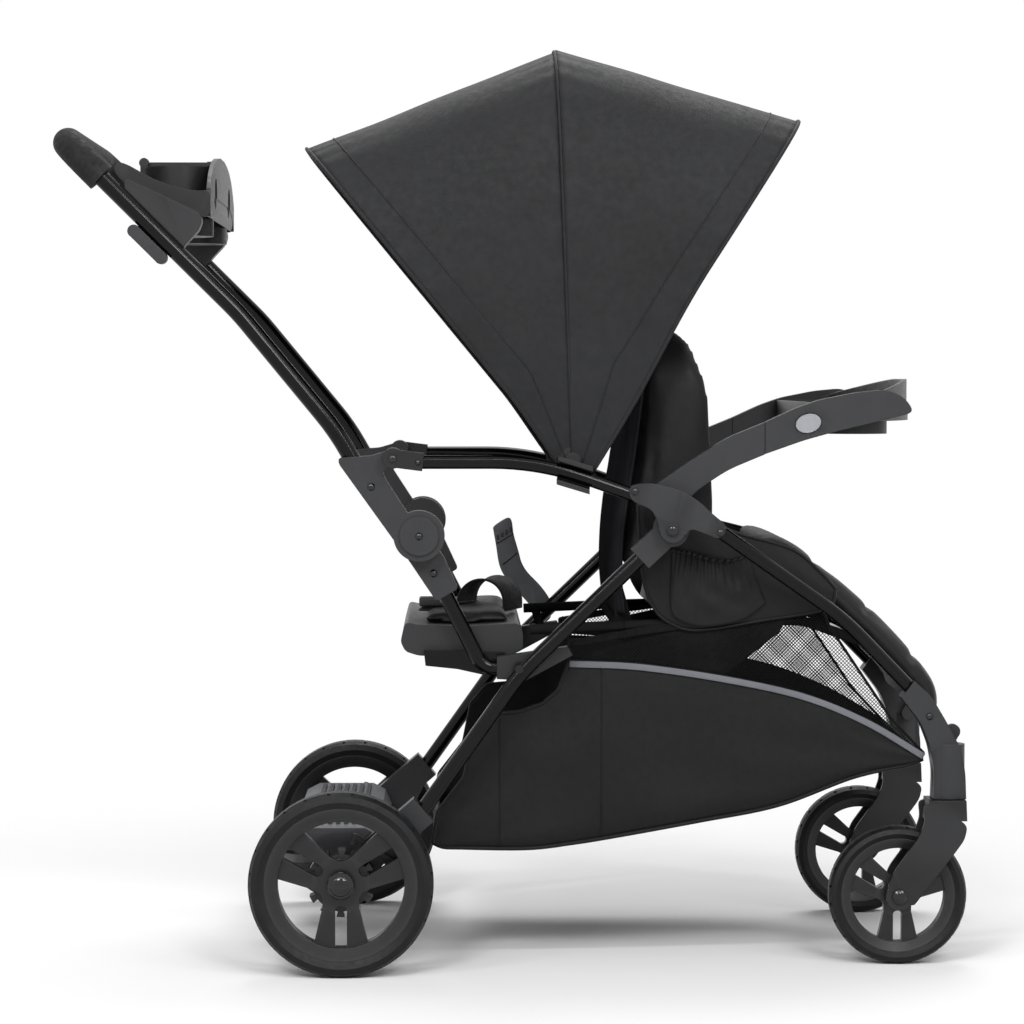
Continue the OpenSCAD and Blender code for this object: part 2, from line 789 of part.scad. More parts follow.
module grip() {
  grip_bore = handle_d + 2 * socket_gap;
  color(charcoal) {
    both() {
      handle_turn(grip_d, grip_bore);
      translate([0, -handle_y, 0])
        pipe([handle_end - handle_dir * grip_reach, handle_end - handle_dir * hairline], handle_bend, grip_d, grip_bore);
    }
    handle_cross(grip_d, grip_bore);
  }
}

upper_outline = [
  [-205, 604], [-168, 606], [-141.5, 614], [-141.5, 592], [-154, 588], [-150, 578], [-124, 538], [-97, 512],
  [-111, 483], [-134, 498], [-205, 597]
];
upper_screw = [-167, 570];
module hinge_upper() {
  color(charcoal) both() difference() {
    union() {
      across(-upper_out, -upper_in) {
        translate(knee) circle(r = knee_r + 1);
        polygon(eased(upper_outline, 5, [2, 3]));
        translate(arm_pivot) circle(r = armrest_end_r);
      }
    }
    handle_cut(0);
    pin_y(knee, knee_pin_d + 2 * socket_gap, -upper_out - 1, -upper_in + 1);
  }
}

module hinge_pins() {
  color(black) both() {
    pin_y(knee, knee_pin_d, -upper_out, -lower_in);
    pin_y(knee, 2 * knee_r - 12, -upper_out - 3, -upper_out);
  }
}

console_half = 214;
console_wall = 3;
// Side view of the console: its top edge falls towards the front, and its front lip hangs down
console_top = [
  [-470, 945], [-463, 951], [-452, 947], [-436, 938], [-421, 930], [-400, 922.5], [-380, 918], [-368, 917],
  [-361, 918], [-357, 913]
];
console_low = [[-356.5, 893], [-360, 886], [-366, 886], [-456, 925], [-467, 936]];
console_open = 860;
console_sky = 1000;
console_front = -360;
console_rear = -464;
cup_r = 38;
cup_at = [-400, 118];
cup_floor = 870;
cup_top = 950;
bin_low = [-440, -58, 922];
bin_size = [76, 116, 60];
window_r = 19;
window_z = 918;
// Front panel of the console seen from ahead: an arch that stands higher in the middle
brow_half = [
  [-214, 888], [-214, 918], [-204, 926], [-185, 938], [-160, 948], [-125, 957], [-80, 963], [-35, 966]
];
brow_under = [[-206, 886], [-196, 897], [-170, 907], [-130, 913]];
brow_back = -361;
brow_t = 5;
clamp_y = 236;
clamp_outline = [
  [-456, 931], [-410, 910], [-366, 889], [-364.5, 880], [-368, 870], [-384, 853], [-392, 842], [-452, 901.5]
];
lid_axis = [-446, 958];
lid_well = 953.6;
lid_boss_d = 12;
lid_boss_in = 70.2;
lid_boss_out = 79;
lid_boss_depth = 6;
lid_post_w = 9;
lid_post_low = 938;
lid_pin_d = 4;
lid_half = 69.5;
lid_len = 82;
lid_t = 5;
lid_tab = [8, 28, 5];
lid_tab_x = 72;
lid_room = 0.5;
lid_gap = 2;
lid_lift = 0.6;

// A box with walls of the console's thickness round a pocket
module console_box(low, size, top) {
  w = console_wall;
  translate(low - [w, w, w]) cube([size[0] + 2 * w, size[1] + 2 * w, top - low[2] + w]);
}

module console_shell() {
  inner = concat([for (q = console_top) [min(max(q[0], console_rear), console_front), q[1] - console_wall]],
    [[console_front, console_open], [console_rear, console_open]]);
  difference() {
    across(-console_half, console_half) polygon(eased(concat(console_top, console_low), 6));
    across(-console_half + console_wall, console_half - console_wall) polygon(inner);
  }
}

module console_brow() {
  left = [for (i = [len(brow_half) - 1:-1:0]) [-brow_half[i][0], brow_half[i][1]]];
  left_under = [for (q = brow_under) [-q[0], q[1]]];
  right_under = [for (i = [len(brow_under) - 1:-1:0]) brow_under[i]];
  edge = concat(brow_half, left, left_under, right_under);
  translate([brow_back, 0, 0]) rotate([90, 0, 90]) linear_extrude(height = brow_t) polygon(eased(edge, 4));
}

module console() {
  lid_back = lid_axis[0] - lid_boss_d / 2 - console_wall;
  lid_front = lid_axis[0] + lid_gap + lid_len + lid_room;
  color(charcoal) difference() {
    union() {
      console_shell();
      console_brow();
      both() across(-clamp_y, -console_half + console_wall) polygon(eased(clamp_outline, 5));
      both() translate([cup_at[0], -cup_at[1], cup_floor - console_wall])
        cylinder(h = cup_top - cup_floor + console_wall, r = cup_r + console_wall);
      console_box(bin_low, bin_size, lid_well);
      both() {
        pin_y(lid_axis, lid_boss_d, -lid_boss_out, -lid_boss_in);
        translate([lid_axis[0] - lid_post_w / 2, -lid_boss_out, lid_post_low])
          cube([lid_post_w, lid_boss_out - lid_boss_in, lid_axis[1] - lid_post_low]);
      }
    }
    both() translate([cup_at[0], -cup_at[1], cup_floor]) cylinder(h = console_sky - cup_floor, r = cup_r);
    both() translate([cup_at[0], -cup_at[1], window_z]) rotate([0, 90, 0]) cylinder(h = 2 * cup_r, r = window_r);
    translate(bin_low) cube(bin_size);
    translate([lid_back, -lid_half - lid_room, lid_well])
      cube([lid_front - lid_back, 2 * (lid_half + lid_room), console_sky - lid_well]);
    both() pin_y(lid_axis, lid_pin_d + 2 * pin_gap, -lid_boss_in - lid_boss_depth, -lid_boss_in + 1);
    both() handle_cut(2);
  }
}

module console_lid() {
  color(charcoal) {
    translate([lid_axis[0] + lid_gap, -lid_half, lid_well + lid_lift]) cube([lid_len, 2 * lid_half, lid_t]);
    pin_y(lid_axis, 8, -lid_half, lid_half);
    pin_y(lid_axis, lid_pin_d, -lid_half - 5, lid_half + 5);
    translate([lid_axis[0] + lid_tab_x, -lid_tab[1] / 2, lid_well + lid_t]) cube(lid_tab);
  }
}

trigger_up = 110;
trigger_len = 44;
trigger_d = 15;
trigger_half_w = 8;
trigger_gap = 0.06;

module fold_trigger() {
  below = [-handle_dir[1], handle_dir[0]];
  p = handle_pts[2] + handle_dir * trigger_up + below * (handle_d / 2 + trigger_gap + trigger_d / 2);
  across(-handle_y - trigger_half_w, -handle_y + trigger_half_w) slot2(p, p + handle_dir * trigger_len, trigger_d);
}

module fold_trigger_right() {
  color(grey) fold_trigger();
}

module fold_trigger_left() {
  color(grey) mirror([0, 1, 0]) fold_trigger();
}

// Seat back

back_heights = [0, 0.06, 0.2, 0.36, 0.52, 0.68, 0.82, 0.92, 0.98, 1];
back_top = 762;
back_low = 470;
back_half = 186;
function back_half_at(h) = back_half * (h < 0.75 ? 1 : sqrt(max(0.05, 1 - pow((h - 0.75) / 0.262, 2) * 0.55)));
function back_rear_x(h) = 126 + 34 * h;
function back_front_x(h) = back_rear_x(h) + 38 + 6 * cos(h * 1080);
function wing_x(h) = 232 - 40 * pow(max(0, h - 0.45) / 0.55, 2);
function wing_mix(t) = pow(abs(2 * t - 1), 6);

module seat_back_pad() {
  n = 20;
  front = [for (h = back_heights) [for (j = [0:n])
    let (t = j / n, w = back_half_at(h), y = -w + 2 * w * t,
      x = back_front_x(h) * (1 - wing_mix(t)) + wing_x(h) * wing_mix(t))
    [x, y, back_low + (back_top - back_low) * h]]];
  rear = [for (h = back_heights) [for (j = [0:n])
    let (t = j / n, w = back_half_at(h), y = -w + 2 * w * t, round = 14 * pow(abs(2 * t - 1), 8))
    [back_rear_x(h) + round, y, back_low + (back_top - back_low) * h]]];
  color(cloth) two_skin(front, rear);
}

board_foot = [[122, 410], [142, 410]];
board_t = 6;
board_gap = 0.7;
board_reach = 0.98;
function board_at(h, off) = [back_rear_x(h) - board_gap - off, back_low + (back_top - back_low) * h];
board_outline = [
  board_foot[0], board_at(0, board_t), board_at(board_reach, board_t), board_at(board_reach, 0), board_at(0, 0),
  board_foot[1]
];
board_half = 170;
board_eye_d = 24;
module seat_back_board() {
  color(charcoal) difference() {
    union() {
      across(-board_half, board_half) polygon(board_outline);
      pin_y(recline_pivot, board_eye_d, -board_half, board_half);
    }
    pin_y(recline_pivot, recline_d + 2 * pin_gap, -board_half - 1, board_half + 1);
  }
}

// Child tray

tray_side = [
  [294.6, 608], [294.6, 645.3], [331, 662], [358, 671.5], [403, 680.4], [437, 683.5], [456.5, 675], [466.3, 663],
  [466.3, 656], [438.5, 649], [376, 634], [340, 624]
];
tray_back_x = 352;
tray_disc_x = 76;
tray_disc_r = 415;
tray_low = 646;
tray_top = 668;
tray_rim_h = 60;
tray_rim_in = 1.6;
tray_rim_side = [[400, 650], [400, 667], [430, 679], [474, 693], [484, 696], [500, 696], [500, 650]];
tray_cup_r = 37;
tray_cup_at = [412, 120];
tray_cup_low = 630;
tray_pocket_d = 5.4;
button_at = [345, 644];
button_size = [30, 22];
button_out = 1.6;
button_room = 2.6;
tray_half = 226;

module tray_plan() {
  intersection() {
    translate([tray_back_x, -tray_half]) square([200, 2 * tray_half]);
    translate([tray_disc_x, 0]) circle(r = tray_disc_r, $fn = 120);
  }
}

module tray_plan_in() {
  intersection() {
    translate([tray_back_x + 8, -tray_half + 12]) square([200, 2 * tray_half - 24]);
    translate([tray_disc_x, 0]) circle(r = tray_disc_r - 9, $fn = 120);
  }
}

// Raised lip along the front of the tray, higher towards the nose
module tray_rim() {
  intersection() {
    across(-tray_half, tray_half) polygon(tray_rim_side);
    translate([tray_disc_x, 0, tray_low + 2]) cylinder(h = tray_rim_h, r = tray_disc_r - tray_rim_in, $fn = 120);
  }
}

module tray() {
  color(charcoal) difference() {
    union() {
      both() across(-leg_out, -leg_in) polygon(eased(tray_side, 8, [0, 1]));
      translate([0, 0, tray_low]) linear_extrude(height = tray_top - tray_low) tray_plan();
      both() translate([tray_cup_at[0], -tray_cup_at[1], tray_cup_low])
        cylinder(h = tray_low - tray_cup_low + 1, r = tray_cup_r + 4);
      tray_rim();
    }
    translate([0, 0, tray_low + 5]) linear_extrude(height = tray_rim_h) tray_plan_in();
    both() translate([tray_cup_at[0], -tray_cup_at[1], tray_cup_low + 4]) cylinder(h = 60, r = tray_cup_r);
    both() across(-leg_y - tongue_t / 2 - side_gap, -leg_y + tongue_t / 2 + side_gap)
      bar2(tongue_from - tray_slide(20), tongue_from + tray_slide(tongue_len + 1.5), tongue_w + 2 * side_gap);
    both() across(-leg_out - 1, -leg_out + tray_pocket_d) button_oval(side_gap);
  }
}

// Outline of a button, grown by a margin
module button_oval(grow) {
  steps = 48;
  half = button_size / 2 + [grow, grow];
  translate(button_at) rotate(tray_tilt)
    polygon([for (i = [0:steps - 1]) [half[0] * cos(360 * i / steps), half[1] * sin(360 * i / steps)]]);
}

module tray_button() {
  across(-leg_out - button_out, -leg_out + tray_pocket_d - button_room) button_oval(0);
}

module tray_button_right() {
  color(light_grey) tray_button();
}

module tray_button_left() {
  color(light_grey) mirror([0, 1, 0]) tray_button();
}

// Casters

fork_half = 26;
fork_blade_t = 5;
fork_outline = [
  [486, 191], [500, 193.5], [514, 186], [538.5, 166], [535, 150], [524, 134.7], [474, 70], [443, 91],
  [452, 113], [481.5, 153.5], [488, 172]
];
fork_bridge_low = 172;
fork_axle_d = 9;
fork_eye_r = 16;
module caster_fork() {
  translate([0, -front_half_track, 0]) {
    both() across(-fork_half, -fork_half + fork_blade_t) {
      polygon(eased(fork_outline, 6));
      translate(front_axle) circle(r = fork_eye_r);
    }
    across(-fork_half, fork_half)
      polygon([[490, fork_bridge_low], [493, 196.4], [537, 196.4], [538, fork_bridge_low]]);
    translate([swivel_x, 0, 196]) cylinder(h = stem_top - 198, d = stem_d);
    pin_y(front_axle, fork_axle_d, -fork_half, fork_half);
    both() pin_y(front_axle, 14, -fork_half - 2, -fork_half);
  }
}

module caster_fork_right() {
  color(charcoal) caster_fork();
}

module caster_fork_left() {
  color(charcoal) mirror([0, 1, 0]) caster_fork();
}

module swivel_lock() {
  face = -front_half_track + socket_r;
  across(face + side_gap, face + lock_t) slot2(lock_pivot, lock_pivot + lock_tip, lock_w);
  pin_y(lock_pivot, lock_pin_d, -front_half_track + socket_half_t - lock_pin_in + side_gap, face + lock_t / 2);
}

module swivel_lock_right() {
  color(light_grey) swivel_lock();
}

module swivel_lock_left() {
  color(light_grey) mirror([0, 1, 0]) swivel_lock();
}

// Wheels, drawn about their own centre with the axle along Y

rim_ratio = 0.829;
ring_ratio = 0.685;
// Parts of the wheel's radius: hub plate, half-widths of a spoke at its root and tip, and its slot
hub_ratio = 0.25;
spoke_root = 0.2;
spoke_tip = 0.31;
slot_half = 0.066;
slot_from = 0.3;
spoke_t = 12;
spoke_angles = [-90, 30, 150];
tread_cuts = 24;
tread_depth = 2.2;
tread_w = 3;
tread_len = 11;

module tyre(r, w) {
  rotate([90, 0, 0]) difference() {
    rotate_extrude($fn = 120) polygon([
      [r * rim_ratio + 0.05, -w / 2 + 4], [r * 0.9, -w / 2], [r * 0.965, -w / 2 + 2], [r, -w / 2 + 9],
      [r, w / 2 - 9], [r * 0.965, w / 2 - 2], [r * 0.9, w / 2], [r * rim_ratio + 0.05, w / 2 - 4]
    ]);
    for (i = [0:tread_cuts - 1]) rotate([0, 0, (i + 0.5) * 360 / tread_cuts]) {
      translate([r - tread_depth, -tread_w / 2, w / 2 - tread_len]) cube([10, tread_w, tread_len + 3]);
      translate([r - tread_depth, -tread_w / 2, -w / 2 - 3]) cube([10, tread_w, tread_len + 3]);
    }
  }
}

// How far the spokes run into the rim
spoke_in = 3;
cap_r = 15.5;
function spoke_outline(r, tip) = [
  [0, -r * spoke_root], [r * hub_ratio, -r * spoke_root], [tip, -r * spoke_tip], [tip, r * spoke_tip],
  [r * hub_ratio, r * spoke_root], [0, r * spoke_root]
];

// A round cap that rises by h over a disc of radius r
module dome(r, h) {
  ball = (r * r + h * h) / (2 * h);
  intersection() {
    translate([0, 0, h - ball]) sphere(r = ball, $fn = 96);
    cylinder(h = h + 1, r = r);
  }
}

module rim(r, w, bore, hub_half, cap_out) {
  ro = r * rim_ratio;
  ri = r * ring_ratio;
  rotate([90, 0, 0]) difference() {
    union() {
      rotate_extrude($fn = 120) polygon([
        [ri, -w / 2 + 8], [ro, -w / 2 + 4], [ro, w / 2 - 4], [ri, w / 2 - 8]
      ]);
      translate([0, 0, -spoke_t / 2]) linear_extrude(height = spoke_t) difference() {
        union() {
          circle(r = r * hub_ratio);
          for (a = spoke_angles) rotate(a) polygon(spoke_outline(r, ri + spoke_in));
        }
        for (a = spoke_angles) rotate(a) {
          bar2([r * slot_from, 0], [ri + 2 * spoke_in, 0], 2 * r * slot_half - slot_step);
          translate([r * slot_from, 0]) circle(r = r * slot_half);
        }
      }
      translate([0, 0, -hub_half]) cylinder(h = 2 * hub_half, r = bore + 8);
      if (cap_out > 0) translate([0, 0, hub_half - 0.01]) dome(cap_r, cap_out);
    }
    translate([0, 0, -hub_half - 1]) cylinder(h = 2 * hub_half + 1, r = bore);
    if (cap_out == 0) translate([0, 0, -hub_half - 1]) cylinder(h = 2 * hub_half + 2, r = bore);
  }
}

module front_place() {
  translate([front_axle[0], -front_half_track, front_axle[1]]) children();
}

module rear_place() {
  translate([rear_axle[0], -rear_half_track, rear_axle[1]]) children();
}

front_hub_half = 19;
module front_rim() {
  front_place() rim(front_r, front_tyre_w, fork_axle_d / 2 + pin_gap, front_hub_half, 0);
}

rear_hub_half = 15;
notch_n = 12;
ratchet_r = 40;
ratchet_in = 33;
ratchet_y0 = 252;
notch_w = 11;
// Where the brake prong meets the ratchet
finger_angle = 74;

module rear_rim() {
  rear_place() rim(rear_r, rear_tyre_w, axle_d / 2 + pin_gap, rear_hub_half, 8);
  translate([rear_axle[0], -ratchet_y0, rear_axle[1]]) rotate([90, 0, 0])
    linear_extrude(height = rear_half_track - rear_hub_half - ratchet_y0 + 0.01 + rear_hub_half - spoke_t / 2)
      difference() {
        circle(r = ratchet_r);
        circle(r = axle_d / 2 + pin_gap);
        for (i = [0:notch_n - 1]) rotate(finger_angle + i * 360 / notch_n)
          translate([ratchet_in, -notch_w / 2]) square([20, notch_w]);
      }
}

module front_rim_right() {
  color(charcoal) front_rim();
}

module front_rim_left() {
  color(charcoal) mirror([0, 1, 0]) front_rim();
}

module front_tyre_right() {
  color(black) front_place() tyre(front_r, front_tyre_w);
}

module front_tyre_left() {
  color(black) mirror([0, 1, 0]) front_place() tyre(front_r, front_tyre_w);
}

module rear_rim_right() {
  color(charcoal) rear_rim();
}

module rear_rim_left() {
  color(charcoal) mirror([0, 1, 0]) rear_rim();
}

module rear_tyre_right() {
  color(black) rear_place() tyre(rear_r, rear_tyre_w);
}

module rear_tyre_left() {
  color(black) mirror([0, 1, 0]) rear_place() tyre(rear_r, rear_tyre_w);
}

// Brake and storage latch

finger_in = 252.6;
finger_out = 257;
finger_tip_r = 43.5;
finger_knuckle_r = 55;
finger_w = 6.5;
prong_w = 5;
rod_end = 0.6;
pedal_arm = [[-132, 129], [-148, 129], [-167, 98], [-262, 98], [-300, 101], [-300, 92], [-296, 88], [-164, 88]];
pedal_half = 36;
module brake_pedal() {
  ray = [cos(finger_angle), sin(finger_angle)];
  knuckle = rear_axle + finger_knuckle_r * ray;
  color(charcoal) {
    pin_y(brake_rod, brake_rod_d, -finger_out - rod_end, finger_out + rod_end);
    both() across(-finger_out, -finger_in) {
      bar2(brake_rod + finger_w * unit(brake_rod - knuckle), knuckle, finger_w);
      bar2(rear_axle + finger_tip_r * ray, knuckle + prong_w * ray / 2, prong_w);
    }
    across(-pedal_half, pedal_half) polygon(pedal_arm);
  }
}

latch_base = [46, 386.6];
latch_bend = [6, 447];
latch_top = [-8, 502];
latch_in = 246.5;
latch_out = 250.4;
latch_w = 22;
latch_pin_d = 8;
latch_slots = 4;
latch_slot_w = 2;
latch_slot_len = 9;
latch_pitch = 4.4;
module storage_latch() {
  color(grey) across(latch_in, latch_out) difference() {
    union() {
      slot2(latch_base, latch_bend, latch_w);
      slot2(latch_bend, latch_top, latch_w);
    }
    translate(latch_base) circle(d = latch_pin_d + 2 * pin_gap);
    for (i = [0:latch_slots - 1])
      translate(latch_top + [(i - (latch_slots - 1) / 2) * latch_pitch - latch_slot_w / 2, -latch_slot_len / 2])
        square([latch_slot_w, latch_slot_len]);
  }
}

armrest_tubes();
armrest_ends();
hub_castings();
front_legs();
caster_sockets();
front_cross_tube();
seat_rails();
seat_cushion();
side_panels();
leg_pad();
basket();
basket_mesh();
canopy_clips();
canopy_rear();
canopy_bows();
rear_legs();
axle_brackets();
rear_axle_rod();
platform();
platform_tread();
tray_arms();
leg_pins();
lower_tubes();
hinge_lower();
pivot_lugs();
bench_links();
bench_shell();
bench_pad();
bench_belt();
handle_tube();
grip();
hinge_upper();
hinge_pins();
console();
console_lid();
fold_trigger_right();
fold_trigger_left();
seat_back_board();
seat_back_pad();
canopy_front();
canopy_front_bow();
tray();
tray_button_right();
tray_button_left();
caster_fork_right();
caster_fork_left();
front_rim_right();
front_rim_left();
front_tyre_right();
front_tyre_left();
rear_rim_right();
rear_rim_left();
rear_tyre_right();
rear_tyre_left();
brake_pedal();
storage_latch();
swivel_lock_right();
swivel_lock_left();
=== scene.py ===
"""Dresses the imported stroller: cloth, padding, paint, plastic and rubber, then light and camera.

Everything is in metres in the part's own frame: X forward, Y to the left, Z up. Sizes written in
millimetres repeat the part's source, and MM turns them into metres.
"""

import json
import math

import bmesh
import bpy
import numpy as np
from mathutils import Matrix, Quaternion, Vector
from mathutils.bvhtree import BVHTree
from mathutils.kdtree import KDTree


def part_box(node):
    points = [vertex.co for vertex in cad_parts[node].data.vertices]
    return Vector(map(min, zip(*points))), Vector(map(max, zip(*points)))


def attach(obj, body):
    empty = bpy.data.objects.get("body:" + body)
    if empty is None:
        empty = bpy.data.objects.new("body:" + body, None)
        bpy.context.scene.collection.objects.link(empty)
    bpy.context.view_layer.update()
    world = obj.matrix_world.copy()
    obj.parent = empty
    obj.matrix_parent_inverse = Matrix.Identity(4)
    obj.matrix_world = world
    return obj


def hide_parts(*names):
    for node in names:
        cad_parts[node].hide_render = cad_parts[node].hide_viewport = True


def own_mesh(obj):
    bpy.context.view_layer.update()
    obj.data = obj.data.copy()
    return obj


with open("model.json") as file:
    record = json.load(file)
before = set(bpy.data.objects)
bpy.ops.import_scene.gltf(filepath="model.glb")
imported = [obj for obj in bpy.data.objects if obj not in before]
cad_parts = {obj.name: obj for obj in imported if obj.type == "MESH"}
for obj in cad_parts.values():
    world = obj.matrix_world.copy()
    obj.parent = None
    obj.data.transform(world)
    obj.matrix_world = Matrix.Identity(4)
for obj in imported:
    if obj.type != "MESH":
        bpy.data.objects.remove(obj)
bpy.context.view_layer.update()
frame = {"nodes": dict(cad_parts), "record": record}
nodes = frame["nodes"]
scene = bpy.context.scene

MM = 0.001
SIDES = ((-1, "right"), (1, "left"))
DOWN, BACKWARD = (0, 0, -1), (-1, 0, 0)


# Materials

# A wave texture repeats every WAVE_SCALE / scale metres
WAVE_SCALE = 0.314
# Wear shows on edges between these values of pointiness
WORN_FROM, WORN_TO = 0.52, 0.6
# Sockets of a colour mix node
MIX_FACTOR, MIX_A, MIX_B, MIX_RESULT = 0, 6, 7, 2


class Shader:
    """A node material with short helpers; every pattern is in object space, in metres."""

    def __init__(self, name):
        self.mat = bpy.data.materials.new(name)
        self.mat.use_nodes = True
        self.tree = self.mat.node_tree
        self.bsdf = self.tree.nodes["Principled BSDF"]
        self.place = self.node("ShaderNodeTexCoord").outputs["Object"]
        self.height = None

    def node(self, kind, **values):
        n = self.tree.nodes.new(kind)
        for key, value in values.items():
            n.inputs[key].default_value = value
        return n

    def link(self, a, b):
        self.tree.links.new(a, b)

    def mapped(self, **values):
        m = self.node("ShaderNodeMapping", **values)
        self.link(self.place, m.inputs["Vector"])
        return m.outputs["Vector"]

    def noise(self, scale, detail=3.0, stretch=None):
        n = self.node("ShaderNodeTexNoise", Scale=scale, Detail=detail)
        self.link(self.mapped(Scale=stretch) if stretch else self.place, n.inputs["Vector"])
        return n.outputs["Fac"]

    def wave(self, pitch, turn, distort=0.0):
        scale = WAVE_SCALE / pitch
        w = self.node("ShaderNodeTexWave", Scale=scale, Distortion=distort, Detail=1.0)
        self.link(self.mapped(Rotation=turn), w.inputs["Vector"])
        return w.outputs["Fac"]

    def ramp(self, fac, stops):
        r = self.node("ShaderNodeValToRGB")
        e = r.color_ramp.elements
        while len(e) < len(stops):
            e.new(0.5)
        for spot, (at, color) in zip(e, stops):
            spot.position = at
            spot.color = (*color, 1)
        self.link(fac, r.inputs["Fac"])
        return r.outputs["Color"]

    def span(self, fac, low, high, lo=0.3, hi=0.7):
        r = self.node("ShaderNodeMapRange")
        for key, value in (("From Min", lo), ("From Max", hi), ("To Min", low), ("To Max", high)):
            r.inputs[key].default_value = value
        self.link(fac, r.inputs["Value"])
        return r.outputs["Result"]

    def math(self, kind, a, b):
        n = self.node("ShaderNodeMath")
        n.operation = kind
        self.link(a, n.inputs[0])
        self.link(b, n.inputs[1])
        return n.outputs["Value"]

    def mix(self, fac, a, b):
        """Mixes a linked colour with a fixed one."""
        n = self.node("ShaderNodeMix")
        n.data_type = "RGBA"
        self.link(fac, n.inputs[MIX_FACTOR])
        self.link(a, n.inputs[MIX_A])
        n.inputs[MIX_B].default_value = (*b, 1)
        return n.outputs[MIX_RESULT]

    def color(self, source):
        self.link(source, self.bsdf.inputs["Base Color"])

    def rough(self, source):
        self.link(source, self.bsdf.inputs["Roughness"])

    def bump(self, source, depth, strength):
        b = self.node("ShaderNodeBump", Strength=strength, Distance=depth)
        self.link(source, b.inputs["Height"])
        if self.height:
            self.link(self.height, b.inputs["Normal"])
        self.height = b.outputs["Normal"]
        self.link(self.height, self.bsdf.inputs["Normal"])

    def ease_edges(self, radius):
        self.height = self.node("ShaderNodeBevel", Radius=radius).outputs["Normal"]

    def fixed(self, **values):
        for key, value in values.items():
            self.bsdf.inputs[key.replace("_", " ")].default_value = value

    def worn(self, color, light, amount):
        edge = self.node("ShaderNodeNewGeometry").outputs["Pointiness"]
        return self.mix(self.span(edge, 0.0, amount, WORN_FROM, WORN_TO), color, light)


def grey(v, blue=0.04):
    """A grey of value v with a slight blue cast."""
    return (v, v * (1 + blue * 0.4), v * (1 + blue * 2))


def paint(name, v, rough=0.2, shine=0.25):
    """Black paint on tube: faint unevenness under a thin coat."""
    s = Shader(name)
    base = s.ramp(s.noise(55), [(0.35, grey(v * 0.8)), (0.7, grey(v * 1.25))])
    s.color(s.worn(base, grey(v * 4), 0.35))
    s.rough(s.span(s.noise(24, 2), rough * 0.85, rough * 1.25))
    s.bump(s.noise(26, 1), 0.00003, 0.1)
    s.fixed(Coat_Weight=0.07, Coat_Roughness=0.1, Specular_IOR_Level=shine)
    return s.mat


def plastic(name, v, rough=0.46, grain=0.00009, gloss=0.0, shine=0.28):
    """Moulded plastic: fine grain, slight flow marks, eased and worn edges."""
    s = Shader(name)
    s.ease_edges(0.0016)
    base = s.ramp(s.noise(38, 4), [(0.3, grey(v * 0.86)), (0.72, grey(v * 1.14))])
    s.color(s.worn(base, grey(v * 1.9 + 0.02), 0.3))
    s.rough(s.span(s.noise(210, 4), rough * 0.84, rough * 1.16))
    s.bump(s.noise(1500, 2), grain, 0.6)
    s.bump(s.noise(26, 2), 0.0004, 0.12)
    s.fixed(Coat_Weight=gloss, Coat_Roughness=0.12, Specular_IOR_Level=shine)
    return s.mat


def fabric(name, v, pitch=0.0011, rough=0.8, sheen=0.06, folds=0.0022, shine=0.14):
    """Woven cloth: warp and weft threads at a pitch, over broad soft folds."""
    s = Shader(name)
    warp = s.wave(pitch, (0.6, 0.75, 0.5), 0.6)
    weft = s.wave(pitch, (0.6, -0.75, 2.1), 0.6)
    thread = s.math("MULTIPLY", warp, weft)
    tones = [(0.3, grey(v * 0.8, 0.06)), (0.72, grey(v * 1.22, 0.06))]
    blotch = s.ramp(s.noise(9, 4), tones)
    s.color(s.mix(s.span(thread, 0.0, 0.42, 0.1, 0.8), blotch, grey(v * 0.45, 0.06)))
    s.rough(s.span(s.noise(120, 3), rough * 0.9, min(1.0, rough * 1.12)))
    s.bump(s.noise(21, 3, (1.0, 1.0, 0.6)), folds, 0.55)
    s.bump(thread, 0.00022, 0.5)
    s.fixed(Sheen_Weight=sheen, Sheen_Roughness=0.4, Specular_IOR_Level=shine)
    return s.mat


def webbing(name, v):
    s = Shader(name)
    rib = s.wave(0.0019, (0.0, 0.0, 0.0))
    cross = s.wave(0.0024, (1.2, 0.3, 1.1))
    weave = s.math("ADD", rib, cross)
    s.color(s.ramp(weave, [(0.3, grey(v * 0.55)), (0.9, grey(v * 1.3))]))
    s.rough(s.span(s.noise(160), 0.55, 0.8))
    s.bump(weave, 0.0003, 0.6)
    s.fixed(Sheen_Weight=0.08, Specular_IOR_Level=0.15)
    return s.mat


def rubber(name, v, rough=0.62, pore=700):
    """Rubber or foam with pores and scuffed edges."""
    s = Shader(name)
    base = s.ramp(s.noise(48, 5), [(0.3, grey(v * 0.75)), (0.7, grey(v * 1.3))])
    s.color(s.worn(base, grey(v * 2.2), 0.5))
    s.rough(s.span(s.noise(180, 4), rough * 0.85, rough * 1.2))
    s.bump(s.noise(pore, 3), 0.0003, 0.45)
    s.fixed(Specular_IOR_Level=0.2)
    return s.mat


def metal(name, v, rough=0.3):
    """Brushed metal: the noise is drawn out across Y."""
    s = Shader(name)
    tones = [(0.3, grey(v * 0.85)), (0.7, grey(v * 1.1))]
    s.color(s.ramp(s.noise(60, 4, (1, 18, 1)), tones))
    s.rough(s.span(s.noise(300, 4, (1, 22, 1)), rough * 0.7, rough * 1.4))
    s.bump(s.noise(420, 3, (1, 30, 1)), 0.00006, 0.4)
    s.fixed(Metallic=1.0)
    return s.mat


